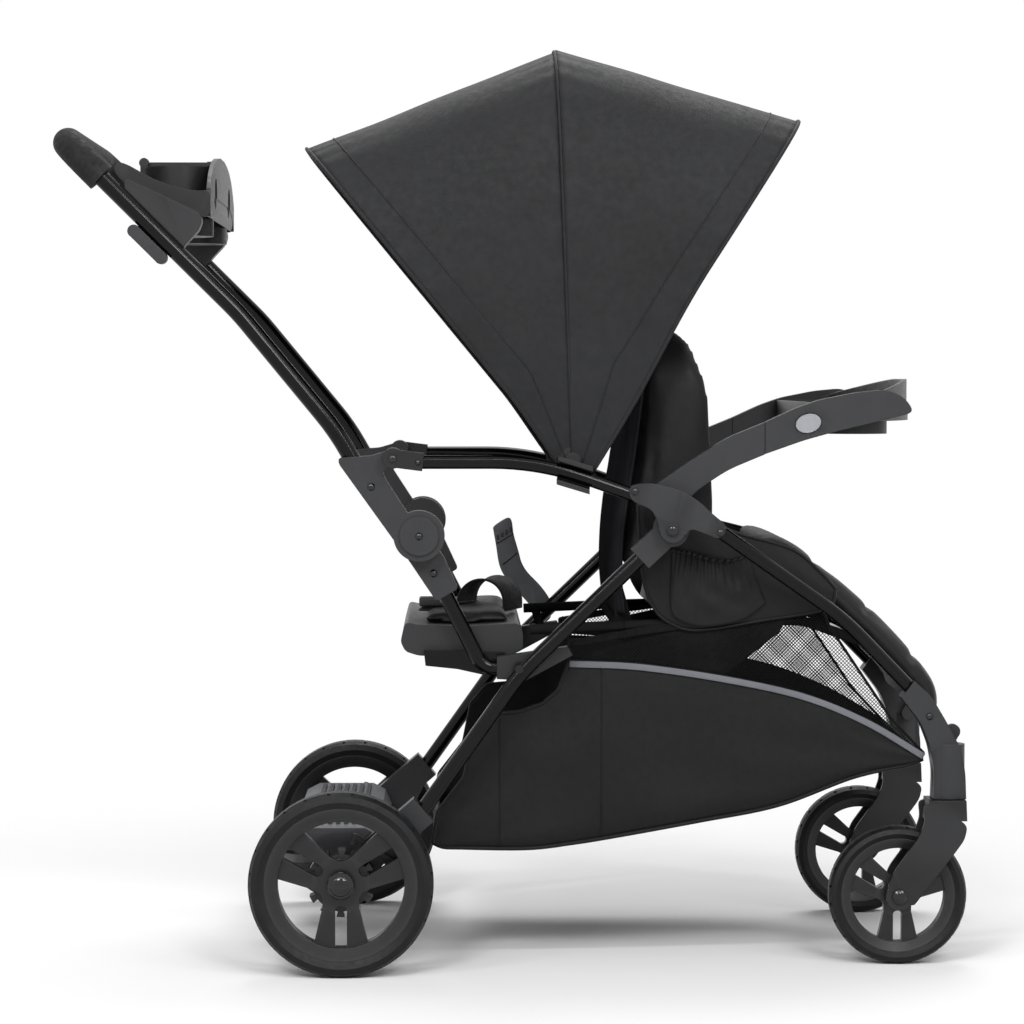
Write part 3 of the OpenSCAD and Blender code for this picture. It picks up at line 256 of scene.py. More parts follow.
mats = {
    "black_tube": paint("black_tube", 0.001, 0.14, 0.17),
    "steel": metal("steel", 0.5),
    "pins": paint("pins", 0.004, 0.22),
    "casting": plastic("casting", 0.016, 0.42),
    "bow": plastic("bow", 0.008, 0.5),
    "cloth": fabric("cloth", 0.0048, rough=0.6, shine=0.2),
    "padding": fabric("padding", 0.0045, rough=0.5, sheen=0.04, folds=0.003, shine=0.2),
    "mesh": fabric("mesh", 0.004, pitch=0.0008, folds=0.0005),
    "webbing": webbing("webbing", 0.006),
    "foam": rubber("foam", 0.0095, 0.72, 1100),
    "grey_plastic": plastic("grey_plastic", 0.085, 0.5),
    "light_plastic": plastic("light_plastic", 0.2, 0.45),
    "tread_rubber": rubber("tread_rubber", 0.03, 0.7),
    "tyre": rubber("tyre", 0.0068, 0.5),
    "trim": fabric("trim", 0.15, pitch=0.0009, folds=0.0008),
    "canopy": fabric("canopy", 0.0118, rough=0.62, sheen=0.05, folds=0.0016, shine=0.2),
    "lining": fabric("lining", 0.006, folds=0.0014),
    "rim": plastic("rim", 0.0095, 0.34, 0.00005, 0.1),
    "hubcap": plastic("hubcap", 0.003, 0.12, 0.00003, 0.4),
    "rivet": metal("rivet", 0.05, 0.12),
    "dark_casting": plastic("dark_casting", 0.0112, 0.42),
    # The cover's cloth is painted lighter than the other cloths: painted light on a side that sits
    # in shade
    "cover": fabric("cover", 0.016, rough=0.95, sheen=0.0, folds=0.003, shine=0.0),
    "rail": plastic("rail", 0.005, 0.6, shine=0.0),
}

# Nodes whose look differs from that of their material slot
LOOKS = {
    "armrest_ends": "bow", "pivot_lugs": "bow", "canopy_clips": "bow",
    "hinge_pins": "casting", "swivel_lock_right": "casting", "swivel_lock_left": "casting",
    "seat_rails": "rail", "console": "dark_casting", "console_lid": "dark_casting",
    "bench_shell": "dark_casting",
    "caster_fork_right": "dark_casting", "caster_fork_left": "dark_casting",
}
slot_of = {p["node"]: p["material_slot"] for p in frame["record"]["subparts"]}
for name, obj in nodes.items():
    look = "rim" if "_rim_" in name else LOOKS.get(name, slot_of[name])
    obj.data.materials.clear()
    obj.data.materials.append(mats[look])


# Lines and grids of points

# Steps along each stretch of a smooth line, before it is spaced evenly
SMOOTH_STEPS = 24


def stack(x, y, z):
    """Points from X, Y and Z, of which any may be a single number."""
    return np.stack(np.broadcast_arrays(x, y, z), -1)


def points(x, y, z):
    """Points in metres from X, Y and Z in millimetres."""
    return stack(x, y, z) * MM


def upright(G, y):
    """Points in metres from a line or grid in X and Z and its Y, in millimetres."""
    return points(G[..., 0], y, G[..., 1])


def unit_grid(rows, cols):
    """Two grids that run from 0 to 1, the first down the rows, the second along them."""
    return np.meshgrid(np.linspace(0, 1, rows), np.linspace(0, 1, cols), indexing="ij")


def between(a, b, rows):
    """A grid of straight rows from line a to line b."""
    k = np.linspace(0, 1, rows)[:, None, None]
    return a[None] * (1 - k) + b[None] * k


def spaced(line, n):
    """n points evenly along a line of straight pieces."""
    p = np.array(line, float)
    far = np.concatenate([[0], np.cumsum(np.linalg.norm(np.diff(p, axis=0), axis=1))])
    at = np.linspace(0, far[-1], n)
    return np.stack([np.interp(at, far, p[:, k]) for k in range(p.shape[1])], 1)


def smooth_line(line, n):
    """n points evenly along a smooth line through the given ones."""
    p = np.array(line, float)
    q = np.vstack([2 * p[0] - p[1], p, 2 * p[-1] - p[-2]])
    t = np.linspace(0, 1, SMOOTH_STEPS, endpoint=False)[:, None]
    out = []
    for a, b, c, d in zip(q, q[1:], q[2:], q[3:]):
        square = 2 * a - 5 * b + 4 * c - d
        cube = 3 * b - a - 3 * c + d
        out.append(0.5 * (2 * b + (c - a) * t + square * t**2 + cube * t**3))
    return spaced(np.vstack([*out, p[-1:]]), n)


def soften(line, turns=6):
    p = np.array(line, float)
    for _ in range(turns):
        p[1:-1] = (p[:-2] + 2 * p[1:-1] + p[2:]) / 4
    return p


def directions(p):
    """Unit steps along a line."""
    t = np.gradient(p, axis=0)
    return t / np.maximum(np.linalg.norm(t, axis=1, keepdims=True), 1e-12)


def normals_of(P):
    n = np.cross(np.gradient(P, axis=0), np.gradient(P, axis=1))
    return n / np.maximum(np.linalg.norm(n, axis=2, keepdims=True), 1e-12)


def area_of(P):
    a, b = P[1:, :-1] - P[:-1, :-1], P[:-1, 1:] - P[:-1, :-1]
    return float(np.linalg.norm(np.cross(a, b), axis=2).sum())


def ease(t):
    t = np.clip(t, 0, 1)
    return t * t * (3 - 2 * t)


def crown(t, k):
    """A rounded rise from 0 to 1 and back; a larger k is flatter on top."""
    return np.sqrt(np.maximum(0, 1 - np.abs(2 * t - 1) ** k))


def waves(u, v, seed, n, low, high):
    """A smooth seeded ripple between about -1 and 1, of n waves between two counts."""
    rng = np.random.default_rng(seed)
    total = 0
    for _ in range(n):
        k, m = rng.uniform(low, high, 2) * rng.choice([-1, 1], 2)
        phase, size = rng.uniform(0, 6.28), rng.uniform(0.4, 1)
        total = total + np.sin(2 * np.pi * (k * u + m * v) + phase) * size
    return total / (0.6 * n)


# Meshes


def add_object(name, data):
    o = bpy.data.objects.new(name, data)
    scene.collection.objects.link(o)
    return o


def grid_faces(rows, cols, closed=False):
    """The quads of a grid; a closed one joins its last column to its first."""
    faces = []
    for i in range(rows - 1):
        for j in range(cols if closed else cols - 1):
            k = (j + 1) % cols
            faces.append((i * cols + j, i * cols + k, (i + 1) * cols + k, (i + 1) * cols + j))
    return faces


class Piece:
    """Collects parts of one mesh, each with its own material."""

    def __init__(self):
        self.v, self.f, self.m = [], [], []

    def add(self, verts, faces, mat=0):
        base = len(self.v)
        self.v += [tuple(p) for p in verts]
        self.f += [tuple(base + i for i in f) for f in faces]
        self.m += [mat] * len(faces)

    def slab(self, P, Q, mat=0, mat_in=None):
        """A closed shell between two grids; the second one may have its own material."""
        r, c = P.shape[:2]
        n = r * c
        quad = grid_faces(r, c)
        edge = list(range(c)) + [i * c + c - 1 for i in range(1, r)]
        edge += [(r - 1) * c + j for j in range(c - 2, -1, -1)]
        edge += [i * c for i in range(r - 2, 0, -1)]
        rim = [(a, b, n + b, n + a) for a, b in zip(edge, edge[1:] + edge[:1])]
        inner = [tuple(n + k for k in reversed(q)) for q in quad]
        self.add(np.vstack([P.reshape(-1, 3), Q.reshape(-1, 3)]), quad + inner + rim, mat)
        if mat_in is not None:
            at = len(self.m) - len(inner) - len(rim)
            self.m[at:at + len(inner)] = [mat_in] * len(inner)

    def loft(self, rings, mat=0):
        """Joins rings of points in turn, and closes both ends."""
        n, k = len(rings), len(rings[0])
        ends = [tuple(range(k))[::-1], tuple((n - 1) * k + j for j in range(k))]
        self.add(np.vstack(rings), grid_faces(n, k, True) + ends, mat)

    def tube(self, line, radius, mat=0, sides=8):
        p = np.array(line, float)
        t = directions(p)
        up = np.array([0, 0, 1.0]) if abs(t[0][2]) < 0.8 else np.array([0, 1.0, 0])
        a = np.linspace(0, 2 * np.pi, sides, endpoint=False)[:, None]
        rings = []
        for centre, d in zip(p, t):
            up = up - d * (up @ d)
            up = up / np.linalg.norm(up)
            rings.append(centre + radius * (np.cos(a) * up + np.sin(a) * np.cross(d, up)))
        self.loft(rings, mat)

    def band(self, line, side, width, thick, mat=0):
        """A flat strap along a line; side points across its width."""
        p = np.array(line, float)
        t = directions(p)
        s = np.broadcast_to(np.array(side, float), p.shape)
        s = s - t * (s * t).sum(1, keepdims=True)
        s = s / np.linalg.norm(s, axis=1, keepdims=True)
        up = np.cross(t, s)
        w, h = width / 2, thick / 2
        low = [(-w, -h * 0.5), (-w + h, -h), (w - h, -h), (w, -h * 0.5)]
        prof = low + [(x, -y) for x, y in reversed(low)]
        rings = []
        for i in range(len(p)):
            rings.append(np.array([p[i] + x * s[i] + y * up[i] for x, y in prof]))
        self.loft(rings, mat)

    def block(self, centre, size, mat):
        """A block with softened edges."""
        b = bmesh.new()
        bmesh.ops.create_cube(b, size=1.0)
        bmesh.ops.scale(b, vec=Vector(size), verts=b.verts)
        offset = min(size) * 0.25
        bmesh.ops.bevel(
            b, geom=b.edges[:], offset=offset, segments=3, affect="EDGES", profile=0.6
        )
        bmesh.ops.translate(b, vec=Vector(centre), verts=b.verts)
        b.verts.index_update()
        self.add([v.co for v in b.verts], [[v.index for v in f.verts] for f in b.faces], mat)
        b.free()

    def build(self, name, looks):
        me = bpy.data.meshes.new(name)
        me.from_pydata(self.v, [], self.f)
        for look in looks:
            me.materials.append(mats[look])
        me.polygons.foreach_set("material_index", self.m)
        b = bmesh.new()
        b.from_mesh(me)
        bmesh.ops.remove_doubles(b, verts=b.verts, dist=1e-6)
        bmesh.ops.recalc_face_normals(b, faces=b.faces)
        b.to_mesh(me)
        b.free()
        me.polygons.foreach_set("use_smooth", [True] * len(me.polygons))
        return add_object(name, me)


def evaluated(o):
    depsgraph = bpy.context.evaluated_depsgraph_get()
    return bpy.data.meshes.new_from_object(o.evaluated_get(depsgraph))


def apply_all(o):
    me = evaluated(o)
    o.modifiers.clear()
    o.data = me


def coords(me):
    co = np.zeros(len(me.vertices) * 3)
    me.vertices.foreach_get("co", co)
    return co.reshape(-1, 3)


CLOTH_FRAMES, CLOTH_PRESSURE, CLOTH_STIFFNESS, CLOTH_MASS = 20, 4.0, 12, 0.3


def puff(o, voxel, cap, rounds=0):
    """Remeshes a pad evenly and inflates it as cloth, no point by more than cap."""
    looks = list(o.data.materials)
    remesh = o.modifiers.new("even", "REMESH")
    remesh.mode, remesh.voxel_size = "VOXEL", voxel
    if rounds:
        smooth = o.modifiers.new("round", "SMOOTH")
        smooth.factor, smooth.iterations = 0.5, rounds
    apply_all(o)
    start = coords(o.data)
    c = o.modifiers.new("cloth", "CLOTH")
    c.settings.quality = 4
    c.settings.mass = CLOTH_MASS
    c.settings.tension_stiffness = c.settings.compression_stiffness = CLOTH_STIFFNESS
    c.settings.use_pressure = True
    c.settings.uniform_pressure_force = CLOTH_PRESSURE
    c.settings.effector_weights.gravity = 0
    c.point_cache.frame_start, c.point_cache.frame_end = 1, CLOTH_FRAMES
    for f in range(1, CLOTH_FRAMES + 1):
        scene.frame_set(f)
    move = coords(evaluated(o)) - start
    o.modifiers.clear()
    scene.frame_set(1)
    far = np.linalg.norm(move, axis=1, keepdims=True)
    end = start + move * np.minimum(1, cap / np.maximum(far, 1e-9))
    o.data.vertices.foreach_set("co", end.ravel())
    o.data.materials.clear()
    for m in looks:
        o.data.materials.append(m)
    o.data.polygons.foreach_set("use_smooth", [True] * len(o.data.polygons))
    o.data.update()


def pad(name, top, low, voxel, cap, rounds=0):
    """A puffed pad between two grids."""
    piece = Piece()
    piece.slab(top, low)
    o = piece.build(name, ["padding"])
    puff(o, voxel, cap, rounds)
    return o


def sew(o, lines, depth, width):
    """Presses seam lines into a pad along its normals."""
    p = np.vstack([spaced(line, 12 * len(line)) for line in lines])
    tree = KDTree(len(p))
    for i, q in enumerate(p):
        tree.insert(q, i)
    tree.balance()
    for v in o.data.vertices:
        d = tree.find(v.co)[2]
        if d < 4 * width:
            v.co -= v.normal * depth * math.exp(-((d / width) ** 2))
    o.data.update()


def cast(o, starts, way, lift=0.0):
    """Drops points onto a mesh along a direction, and lifts them off it a little."""
    tree = BVHTree.FromObject(o, bpy.context.evaluated_depsgraph_get())
    out = []
    for s in starts:
        hit = tree.ray_cast(Vector(s), Vector(way))[0]
        if hit is not None:
            out.append(np.array(hit) - np.array(way) * lift)
    return np.array(out)


def place(o, body, node=None):
    """Puts a piece on a body, and hides the node that it stands for."""
    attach(o, body)
    if node:
        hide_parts(node)


def declare_sheet(P, extra=1.0):
    """Works out a sheet's longest column and its area, and passes neither on."""
    area = area_of(P) * extra
    w = float(np.linalg.norm(np.diff(P, axis=0), axis=2).sum(0).max())


# Canopy: an arch swept about the pivot between bows, with sewn hems and piping

PIVOT = np.array([69.0, 601.0]) * MM
REACH, HALF, FOOT = 491 * MM, 243 * MM, 18 * MM
FRONT, MID, REAR = (math.radians(a) for a in (56.8, 92.1, 129.6))
ARCH_POWER = 2 / 0.45
# How far the cloth reaches past the outer bows, and how much more at the foot over which height
EAVE = {FRONT: 11.5 * MM, REAR: 8.0 * MM}
FOOT_SPREAD = {FRONT: (16 * MM, 260 * MM), REAR: (8 * MM, 90 * MM)}
# How far the cloth covers the pivot, and over which height
FOOT_DROP, FOOT_RUN = 30 * MM, 90 * MM
CANOPY_CLOTH = 1.8 * MM
HEM_WIDTH, HEM_CORD, HEM_STITCH, RIDGE_CORD = 0.034, 0.0023, 0.0009, 0.0019
ARC = np.linspace(0.02, np.pi - 0.02, 150)


def canopy_point(a, f, f0, f1, grow):
    """A point of the cloth at arch angle a and sweep angle f, straight between two bows."""
    cos_a, sin_a = np.cos(a), np.sin(a)
    rho = (np.abs(cos_a) ** ARCH_POWER + np.abs(sin_a) ** ARCH_POWER) ** (-1 / ARCH_POWER)
    y = -(HALF + grow) * rho * cos_a
    r = FOOT + (REACH + grow - FOOT) * rho * sin_a
    k = np.cos((f1 - f0) / 2) / np.cos(f - (f0 + f1) / 2)
    r = np.where(r > FOOT + 1e-6, r * k, r)
    outer = f0 if f0 in EAVE else f1
    spread, run = FOOT_SPREAD[outer]
    spread = spread * (1 - ease((r - FOOT) / run))
    r = r - (1 - ease((r - FOOT) / FOOT_RUN)) * FOOT_DROP
    out = np.clip((f - (f0 + f1 - outer)) / (2 * outer - f0 - f1), 0, 1) ** 1.5
    reach = out * (EAVE[outer] + spread) * np.sign(outer - MID)
    x = PIVOT[0] + r * np.cos(f) - reach * np.sin(outer)
    z = PIVOT[1] + r * np.sin(f) + reach * np.cos(outer)
    return stack(x, y, z)


def canopy_panel(name, body, f0, f1, grow, hem_at, node, seed):
    """One cloth between two bows, with slack, puckered seams and a hem on its free edge."""
    rows, cols = 36, 260
    f, a = np.meshgrid(np.linspace(f0, f1, rows), np.linspace(0.0, np.pi, cols), indexing="ij")
    P = canopy_point(a, f, f0, f1, grow)
    n = normals_of(P)
    top = cols // 2
    if (n[:, top] * (P[:, top] - np.array([PIVOT[0], 0, PIVOT[1]]))).sum() < 0:
        n = -n
    u, v = (f - f0) / (f1 - f0), a / np.pi
    hold = np.sin(np.pi * u) ** 0.7 * np.clip(np.sin(a) * 3, 0, 1)
    slack = hold * waves(u, v * 2, seed, 6, 0.4, 2.4) * 0.0015
    seam = np.exp(-((u / 0.16) ** 2)) + np.exp(-(((1 - u) / 0.16) ** 2))
    ripple = np.sin(2 * np.pi * (38 * v + 0.7 * np.sin(9 * v + seed)))
    pucker = 0.0005 * ripple * seam * np.clip(np.sin(a) * 2, 0, 1)
    P = P + n * (slack + pucker)[..., None]
    piece = Piece()
    piece.slab(P, P - n * CANOPY_CLOTH, 0, 1)
    inward = 1 if hem_at == f0 else -1
    line = canopy_point(ARC, np.full_like(ARC, hem_at + inward * 0.003), f0, f1, grow + 0.0006)
    piece.tube(line, HEM_CORD)
    r = np.maximum(np.linalg.norm(line[:, [0, 2]] - PIVOT, axis=1), 0.02)
    off = np.minimum(HEM_WIDTH / r, abs(f1 - f0) * 0.42)
    stitch = canopy_point(ARC, hem_at + inward * off, f0, f1, grow + 0.0004)
    piece.tube(stitch, HEM_STITCH, sides=6)
    o = piece.build(name, ["canopy", "lining"])
    place(o, body, node)
    declare_sheet(P, 1.02)
    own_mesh(o)


def ridge_piping():
    """The cord along the seam between the two cloths."""
    piece = Piece()
    piece.tube(canopy_point(ARC, np.full_like(ARC, MID), MID, REAR, 0.0015), RIDGE_CORD)
    o = piece.build("canopy_ridge_piping", ["canopy"])
    place(o, "front_frame")
    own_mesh(o)


def flat_bow(node, body):
    """A copy of a bow that rides on a body in place of its node."""
    o = add_object(node + "_flat", nodes[node].data.copy())
    place(o, body, node)
    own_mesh(o)


# The front cloth ends just short of the middle bow
SEAM = MID - math.radians(0.25)
canopy_panel("canopy_rear_cloth", "front_frame", MID, REAR, 0.0, REAR, "canopy_rear", 3)
canopy_panel("canopy_front_cloth", "canopy_front", FRONT, SEAM, 0.0032, FRONT, "canopy_front", 5)
ridge_piping()
flat_bow("canopy_bows", "front_frame")
flat_bow("canopy_front_bow", "canopy_front")


# Seat: back pad, cushion, leg pad and bench pad, in millimetres

BACK_Z, BACK_HEIGHT, BACK_HALF = 474, 284, 183
SEAT_X, SEAT_LENGTH, SEAT_HALF = 168, 168, 189
BENCH_X, BENCH_LENGTH, BENCH_HALF = -108, 104, 157
LEG_HALF, LEG_THICK, LEG_SEAMS = 177, 18, (10, 22, 33)
# The share of the back's half width at which its wings stand
WING = 0.94
# The back's seams: three rows by their share of the height, and one line on each side
BACK_ROWS, BACK_SEAM_Y = (0.17, 0.5, 0.83), 128
LEG_LINE = [
    [300, 508], [340, 487], [368, 462], [390, 446], [424, 416], [456, 384], [482, 354],
    [503, 325], [511, 297],
]


def back_pad():
    """Three sewn rows between wings that stand forward at both sides."""
    h, t = unit_grid(44, 60)
    taper = np.sqrt(np.maximum(0.05, 1 - ((h - 0.75) / 0.262) ** 2 * 0.55))
    w = BACK_HALF * np.where(h < 0.75, 1, taper)
    y = -w + 2 * w * t
    rear = 128 + 34 * h
    front = rear + 33 + 5 * np.cos(np.radians(h * 1080))
    wing = 244 - 31 * (np.maximum(0, h - 0.45) / 0.55) ** 2 + 2.5 * waves(h, t, 61, 5, 1.0, 4.0)
    side = np.abs(2 * t - 1)
    rounding = 1 - 0.3 * ((side - WING) / 0.06) ** 2
    mix = np.where(side < WING, (side / WING) ** 5, rounding)
    lip = crown(0.02 + 0.96 * h, 14)
    x = front * (1 - mix) + wing * mix
    x = rear + 4 + (x - rear - 4) * lip
    z = BACK_Z + BACK_HEIGHT * h
    P, Q = points(x, y, z), points(rear + 14 * side**8, y, z)
    o = pad("seat_back_padding", P, Q, 0.005, 0.005, rounds=5)
    lines = []
    for up in BACK_ROWS:
        row = points(250, np.linspace(-150, 150, 60), BACK_Z + BACK_HEIGHT * up)
        lines.append(cast(o, row, BACKWARD))
    for y in (-BACK_SEAM_Y, BACK_SEAM_Y):
        lines.append(cast(o, points(260, y, np.linspace(500, 735, 50)), BACKWARD))
    sew(o, lines, 0.004, 0.006)
    place(o, "seat_back", "seat_back_pad")
    return o


# A height above the cushion, from which seams and straps drop onto it
ABOVE_SEAT = 560
SEAT_SEAM_X, SEAT_SEAM_Y = 262, 95


def seat_cushion():
    """A crowned cushion on the seat rails, sewn along both sides and across."""
    s, t = unit_grid(40, 60)
    x = SEAT_X + SEAT_LENGTH * s
    y = -SEAT_HALF + 2 * SEAT_HALF * t
    rail = 403 + (x - 132) * 6 / 213 + 6
    P = points(x, y, rail + 8 + 48 * crown(s, 6) * crown(t, 6))
    o = pad("seat_cushion_padding", P, points(x, y, rail + 1.5), 0.006, 0.005)
    lines = []
    for y in (-SEAT_SEAM_Y, SEAT_SEAM_Y):
        lines.append(cast(o, points(np.linspace(178, 322, 40), y, ABOVE_SEAT), DOWN))
    across = np.linspace(-SEAT_SEAM_Y, SEAT_SEAM_Y, 50)
    lines.append(cast(o, points(SEAT_SEAM_X, across, ABOVE_SEAT), DOWN))
    sew(o, lines, 0.005, 0.007)
    place(o, "front_frame", "seat_cushion")
    return o


def leg_pad():
    """The pad that runs from the seat over the front edge and down."""
    rows, cols = 44, 56
    line = smooth_line(LEG_LINE, rows)
    d = directions(line)
    n = np.stack([-d[:, 1], d[:, 0]], 1)
    i, t = np.linspace(0, 1, rows), np.linspace(0, 1, cols)
    edge = crown(t, 8)[None, :] * crown(0.03 + 0.94 * i, 12)[:, None]
    drop = -5 + 14 * (1 - edge)
    y = -LEG_HALF + 2 * LEG_HALF * t
    top = points(line[:, :1] - n[:, :1] * drop, y, line[:, 1:] - n[:, 1:] * drop)
    low = points(line[:, :1] - n[:, :1] * LEG_THICK, y, line[:, 1:] - n[:, 1:] * LEG_THICK)
    o = pad("leg_rest_padding", top, low, 0.006, 0.004)
    lines = []
    for k in LEG_SEAMS:
        x, z = line[k] + n[k] * 60
        row = points(x, np.linspace(-160, 160, 70), z)
        lines.append(cast(o, row, (-n[k][0], 0, -n[k][1])))
    sew(o, lines, 0.003, 0.006)
    place(o, "front_frame", "leg_pad")
    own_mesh(o)


def bench_pad():
    """A thin pad on the rear bench, in the shell's dip."""
    s, t = unit_grid(30, 70)
    x = BENCH_X + BENCH_LENGTH * s
    y = -BENCH_HALF + 2 * BENCH_HALF * t
    shell = np.where(x < -60, 404 - (x + 112) * 2 / 52, 402 + (x + 60) * 4 / 66)
    P = points(x, y, shell + 4 + 9 * crown(s, 5) * crown(t, 8))
    o = pad("bench_padding", P, points(x, y, shell + 1), 0.004, 0.003)
    place(o, "lower_pusher", "bench_pad")
    return o


back = back_pad()
cushion = seat_cushion()
leg_pad()
bench = bench_pad()


# Harness: shoulder straps on the back pad, hip and crotch straps on the cushion

# Thickness of the webbing and of the sleeves, and how far their middle lies off the pad
STRAP, STRAP_LIFT, SLEEVE, SLEEVE_LIFT = 0.0026, 0.0022, 0.006, 0.0062
SHOULDER_WIDTH, SLEEVE_WIDTH, HIP_WIDTH, CROTCH_WIDTH = 0.030, 0.044, 0.028, 0.030
BUCKLE, BUCKLE_BUTTON = (0.056, 0.052, 0.014), (0.022, 0.022, 0.005)
# Where the shoulder straps drop onto the back from, in millimetres
AHEAD_OF_BACK, STRAP_Y = 270, 52


def shoulder_straps():
    piece = Piece()
    for side, _ in SIDES:
        row = points(AHEAD_OF_BACK, side * STRAP_Y, np.linspace(728, 490, 60))
        line = soften(cast(back, row, BACKWARD, STRAP_LIFT))
        piece.band(line, (0, 1, 0), SHOULDER_WIDTH, STRAP)
        row = points(AHEAD_OF_BACK, side * STRAP_Y, np.linspace(690, 620, 24))
        line = soften(cast(back, row, BACKWARD, SLEEVE_LIFT))
        piece.band(line, (0, 1, 0), SLEEVE_WIDTH, SLEEVE, 1)
    o = piece.build("shoulder_straps", ["webbing", "padding"])
    place(o, "seat_back")
    return o


def hip_belt():
    piece = Piece()
    y = np.linspace(150, 22, 40)
    for side, _ in SIDES:
        row = points(214 + (150 - y) * 0.16, side * y, ABOVE_SEAT)
        line = soften(cast(cushion, row, DOWN, STRAP_LIFT))
        piece.band(line, (1, 0, 0), HIP_WIDTH, STRAP)
    row = points(np.linspace(300, 238, 30), 0, ABOVE_SEAT)
    line = soften(cast(cushion, row, DOWN, STRAP_LIFT))
    piece.band(line, (0, 1, 0), CROTCH_WIDTH, STRAP)
    x, _, z = line[-1]
    piece.block((x - 0.002, 0, z + 0.008), BUCKLE, 1)
    piece.block((x - 0.002, 0, z + 0.0155), BUCKLE_BUTTON, 2)
    o = piece.build("hip_belt_and_buckle", ["webbing", "casting", "light_plastic"])
    place(o, "front_frame")


straps = shoulder_straps()
hip_belt()


# Behind the seat: the cloth cover and the board, which ride on the seat back

COVER_LINE = [
    [150, 757], [146, 720], [136, 640], [129, 590], [123, 550], [118, 505], [117, 460],
    [120, 416],
]
COVER_CLOTH, COVER_CORD = 0.0018, 0.002


def back_cover():
    """The cloth that hangs behind the seat from its top edge to the seat's rear rail."""
    line = smooth_line(COVER_LINE, 60)
    v, u = unit_grid(60, 70)
    half = 178 - 34 * np.clip(0.12 - v, 0, 1) / 0.12 * 0.6
    fold = np.clip((v - 0.35) / 0.65, 0, 1)
    ripple = fold * 1.8 * np.sin(2 * np.pi * (5.5 * u + 0.35 * np.sin(6 * v)))
    ripple = ripple + 0.9 * waves(u, v, 51, 6, 0.6, 3.0)
    edge = np.clip(np.minimum(u, 1 - u) / 0.06, 0, 1) ** 0.5
    x = line[:, :1] + 12 * (1 - edge) + ripple * np.sin(np.pi * (v * 0.96 + 0.02)) ** 0.5
    P = points(x, -half + 2 * half * u, line[:, 1:])
    piece = Piece()
    piece.slab(P, P + np.array([COVER_CLOTH, 0, 0]))
    for side in (0, -1):
        piece.tube(P[:, side] + np.array([COVER_CLOTH / 2, 0, 0]), COVER_CORD)
    # The cover look is painted lighter than the other cloths: painted light on this shaded cloth
    o = piece.build("seat_back_cover", ["cover"])
    place(o, "seat_back")
    declare_sheet(P)
    return o


def folding_board():
    o = add_object("seat_board_folding", nodes["seat_back_board"].data.copy())
    place(o, "seat_back", "seat_back_board")
    o.data.materials[0] = mats["rail"]
    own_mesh(o)


for o in (back, straps, back_cover()):
    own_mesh(o)
folding_board()


# Side panels with gathered pockets: outlines in X and Z, and Y of each layer, in millimetres

PANEL_TOP = [
    [148, 548], [157, 566], [168, 571], [190, 556], [238, 528], [266, 513], [331, 494],
    [366, 466], [384, 446],
]
PANEL_LOW = [
    [148, 548], [153, 467], [166, 426], [187, 406], [221, 398], [300, 410], [372, 423],
    [384, 446],
]
POCKET_TOP = [[188, 494], [214, 488], [240, 481], [262, 481], [278, 487]]
POCKET_LOW = [[186, 440], [192, 414], [224, 403], [270, 410], [300, 430]]
PANEL_IN, PANEL_OUT, PANEL_CORD_Y, POCKET_OUT, POCKET_CLOTH = 197.5, 198.4, 198.6, 202.3, 1.4
PANEL_CORD, POCKET_HEM = 0.0019, 0.0024
PANEL_SEEDS = {-1: (11, 21), 1: (12, 22)}


def side_panel(side, tag):
    piece = Piece()
    panel_seed, pocket_seed = PANEL_SEEDS[side]
    G = between(smooth_line(PANEL_TOP, 70), smooth_line(PANEL_LOW, 70), 36)
    v, u = unit_grid(36, 70)
    soft = np.sin(np.pi * v) * np.sin(np.pi * u) ** 0.5
    y = PANEL_OUT + soft * (1.6 + 1.2 * waves(u, v, panel_seed, 6, 0.8, 3.2))
    panel = upright(G, side * y)
    piece.slab(panel, upright(G, side * PANEL_IN))
    for line in (PANEL_TOP, PANEL_LOW):
        piece.tube(upright(smooth_line(line, 120), side * PANEL_CORD_Y), PANEL_CORD)
    G = between(smooth_line(POCKET_TOP, 90), smooth_line(POCKET_LOW, 90), 34)
    v, u = unit_grid(34, 90)
    gather = np.exp(-v * 3.2) * np.sin(2 * np.pi * (13 * u + 0.5 * np.sin(5 * u))) * 1.6
    bulge = np.sin(np.pi * u) ** 0.6 * (2.2 + 3.2 * np.sin(np.pi * (v * 0.85)))
    slack = 1.3 * waves(u, v, pocket_seed, 6, 0.8, 3.0) * np.sin(np.pi * v)
    y = POCKET_OUT + bulge + (gather + slack) * np.sin(np.pi * u) ** 0.4
    pocket = upright(G, side * y)
    piece.slab(pocket, upright(G, side * (y - POCKET_CLOTH)))
    piece.tube(upright(G[0], side * (y[0] + 0.3)), POCKET_HEM)
    o = piece.build("side_panel_" + tag, ["padding"])
    place(o, "front_frame", "side_panels" if side < 0 else None)
    declare_sheet(panel, 1.0 + area_of(pocket) / area_of(panel))


for side, tag in SIDES:
    side_panel(side, tag)


# Basket: a sagging bag with hems, a grey trim stripe and an open net above it, in millimetres

TRIM = [[67, 361], [150, 357], [253, 342], [345, 321.5], [420, 291], [489, 250]]
WALL_TOP = [
    [-96, 144], [-90, 182], [-58, 223], [-48, 274], [-27, 298], [7, 301], [36, 311], [54, 327],
    *TRIM,
]
WALL_LOW = [
    [-96, 144], [-84, 139], [-66, 138], [16, 137], [70, 143], [126, 152], [220, 169], [316, 188],
    [405, 221], [470, 236], [489, 243],
]
# Front and rear edge of the floor: its X and Z, and those of the rim above it
BAG_ENDS = ((489, 243, 489, 251), (-96, 144, -90, 182))
WALL_Y, WALL_CLOTH, RIM_Y, FLOOR_HEM_Y, STITCH_Y, TRIM_Y = 197.2, 1.6, 197.4, 193.4, 198.3, 199.6
FLOOR_HALF, END_HALF, FLOOR_CLOTH, END_CLOTH = 192.5, 195.5, 1.8 * MM, 1.6 * MM
RIM_CORD, FLOOR_CORD, END_CORD, BAG_STITCH = 0.0021, 0.0024, 0.002, 0.0008
WALL_SEEDS = {-1: 31, 1: 32}
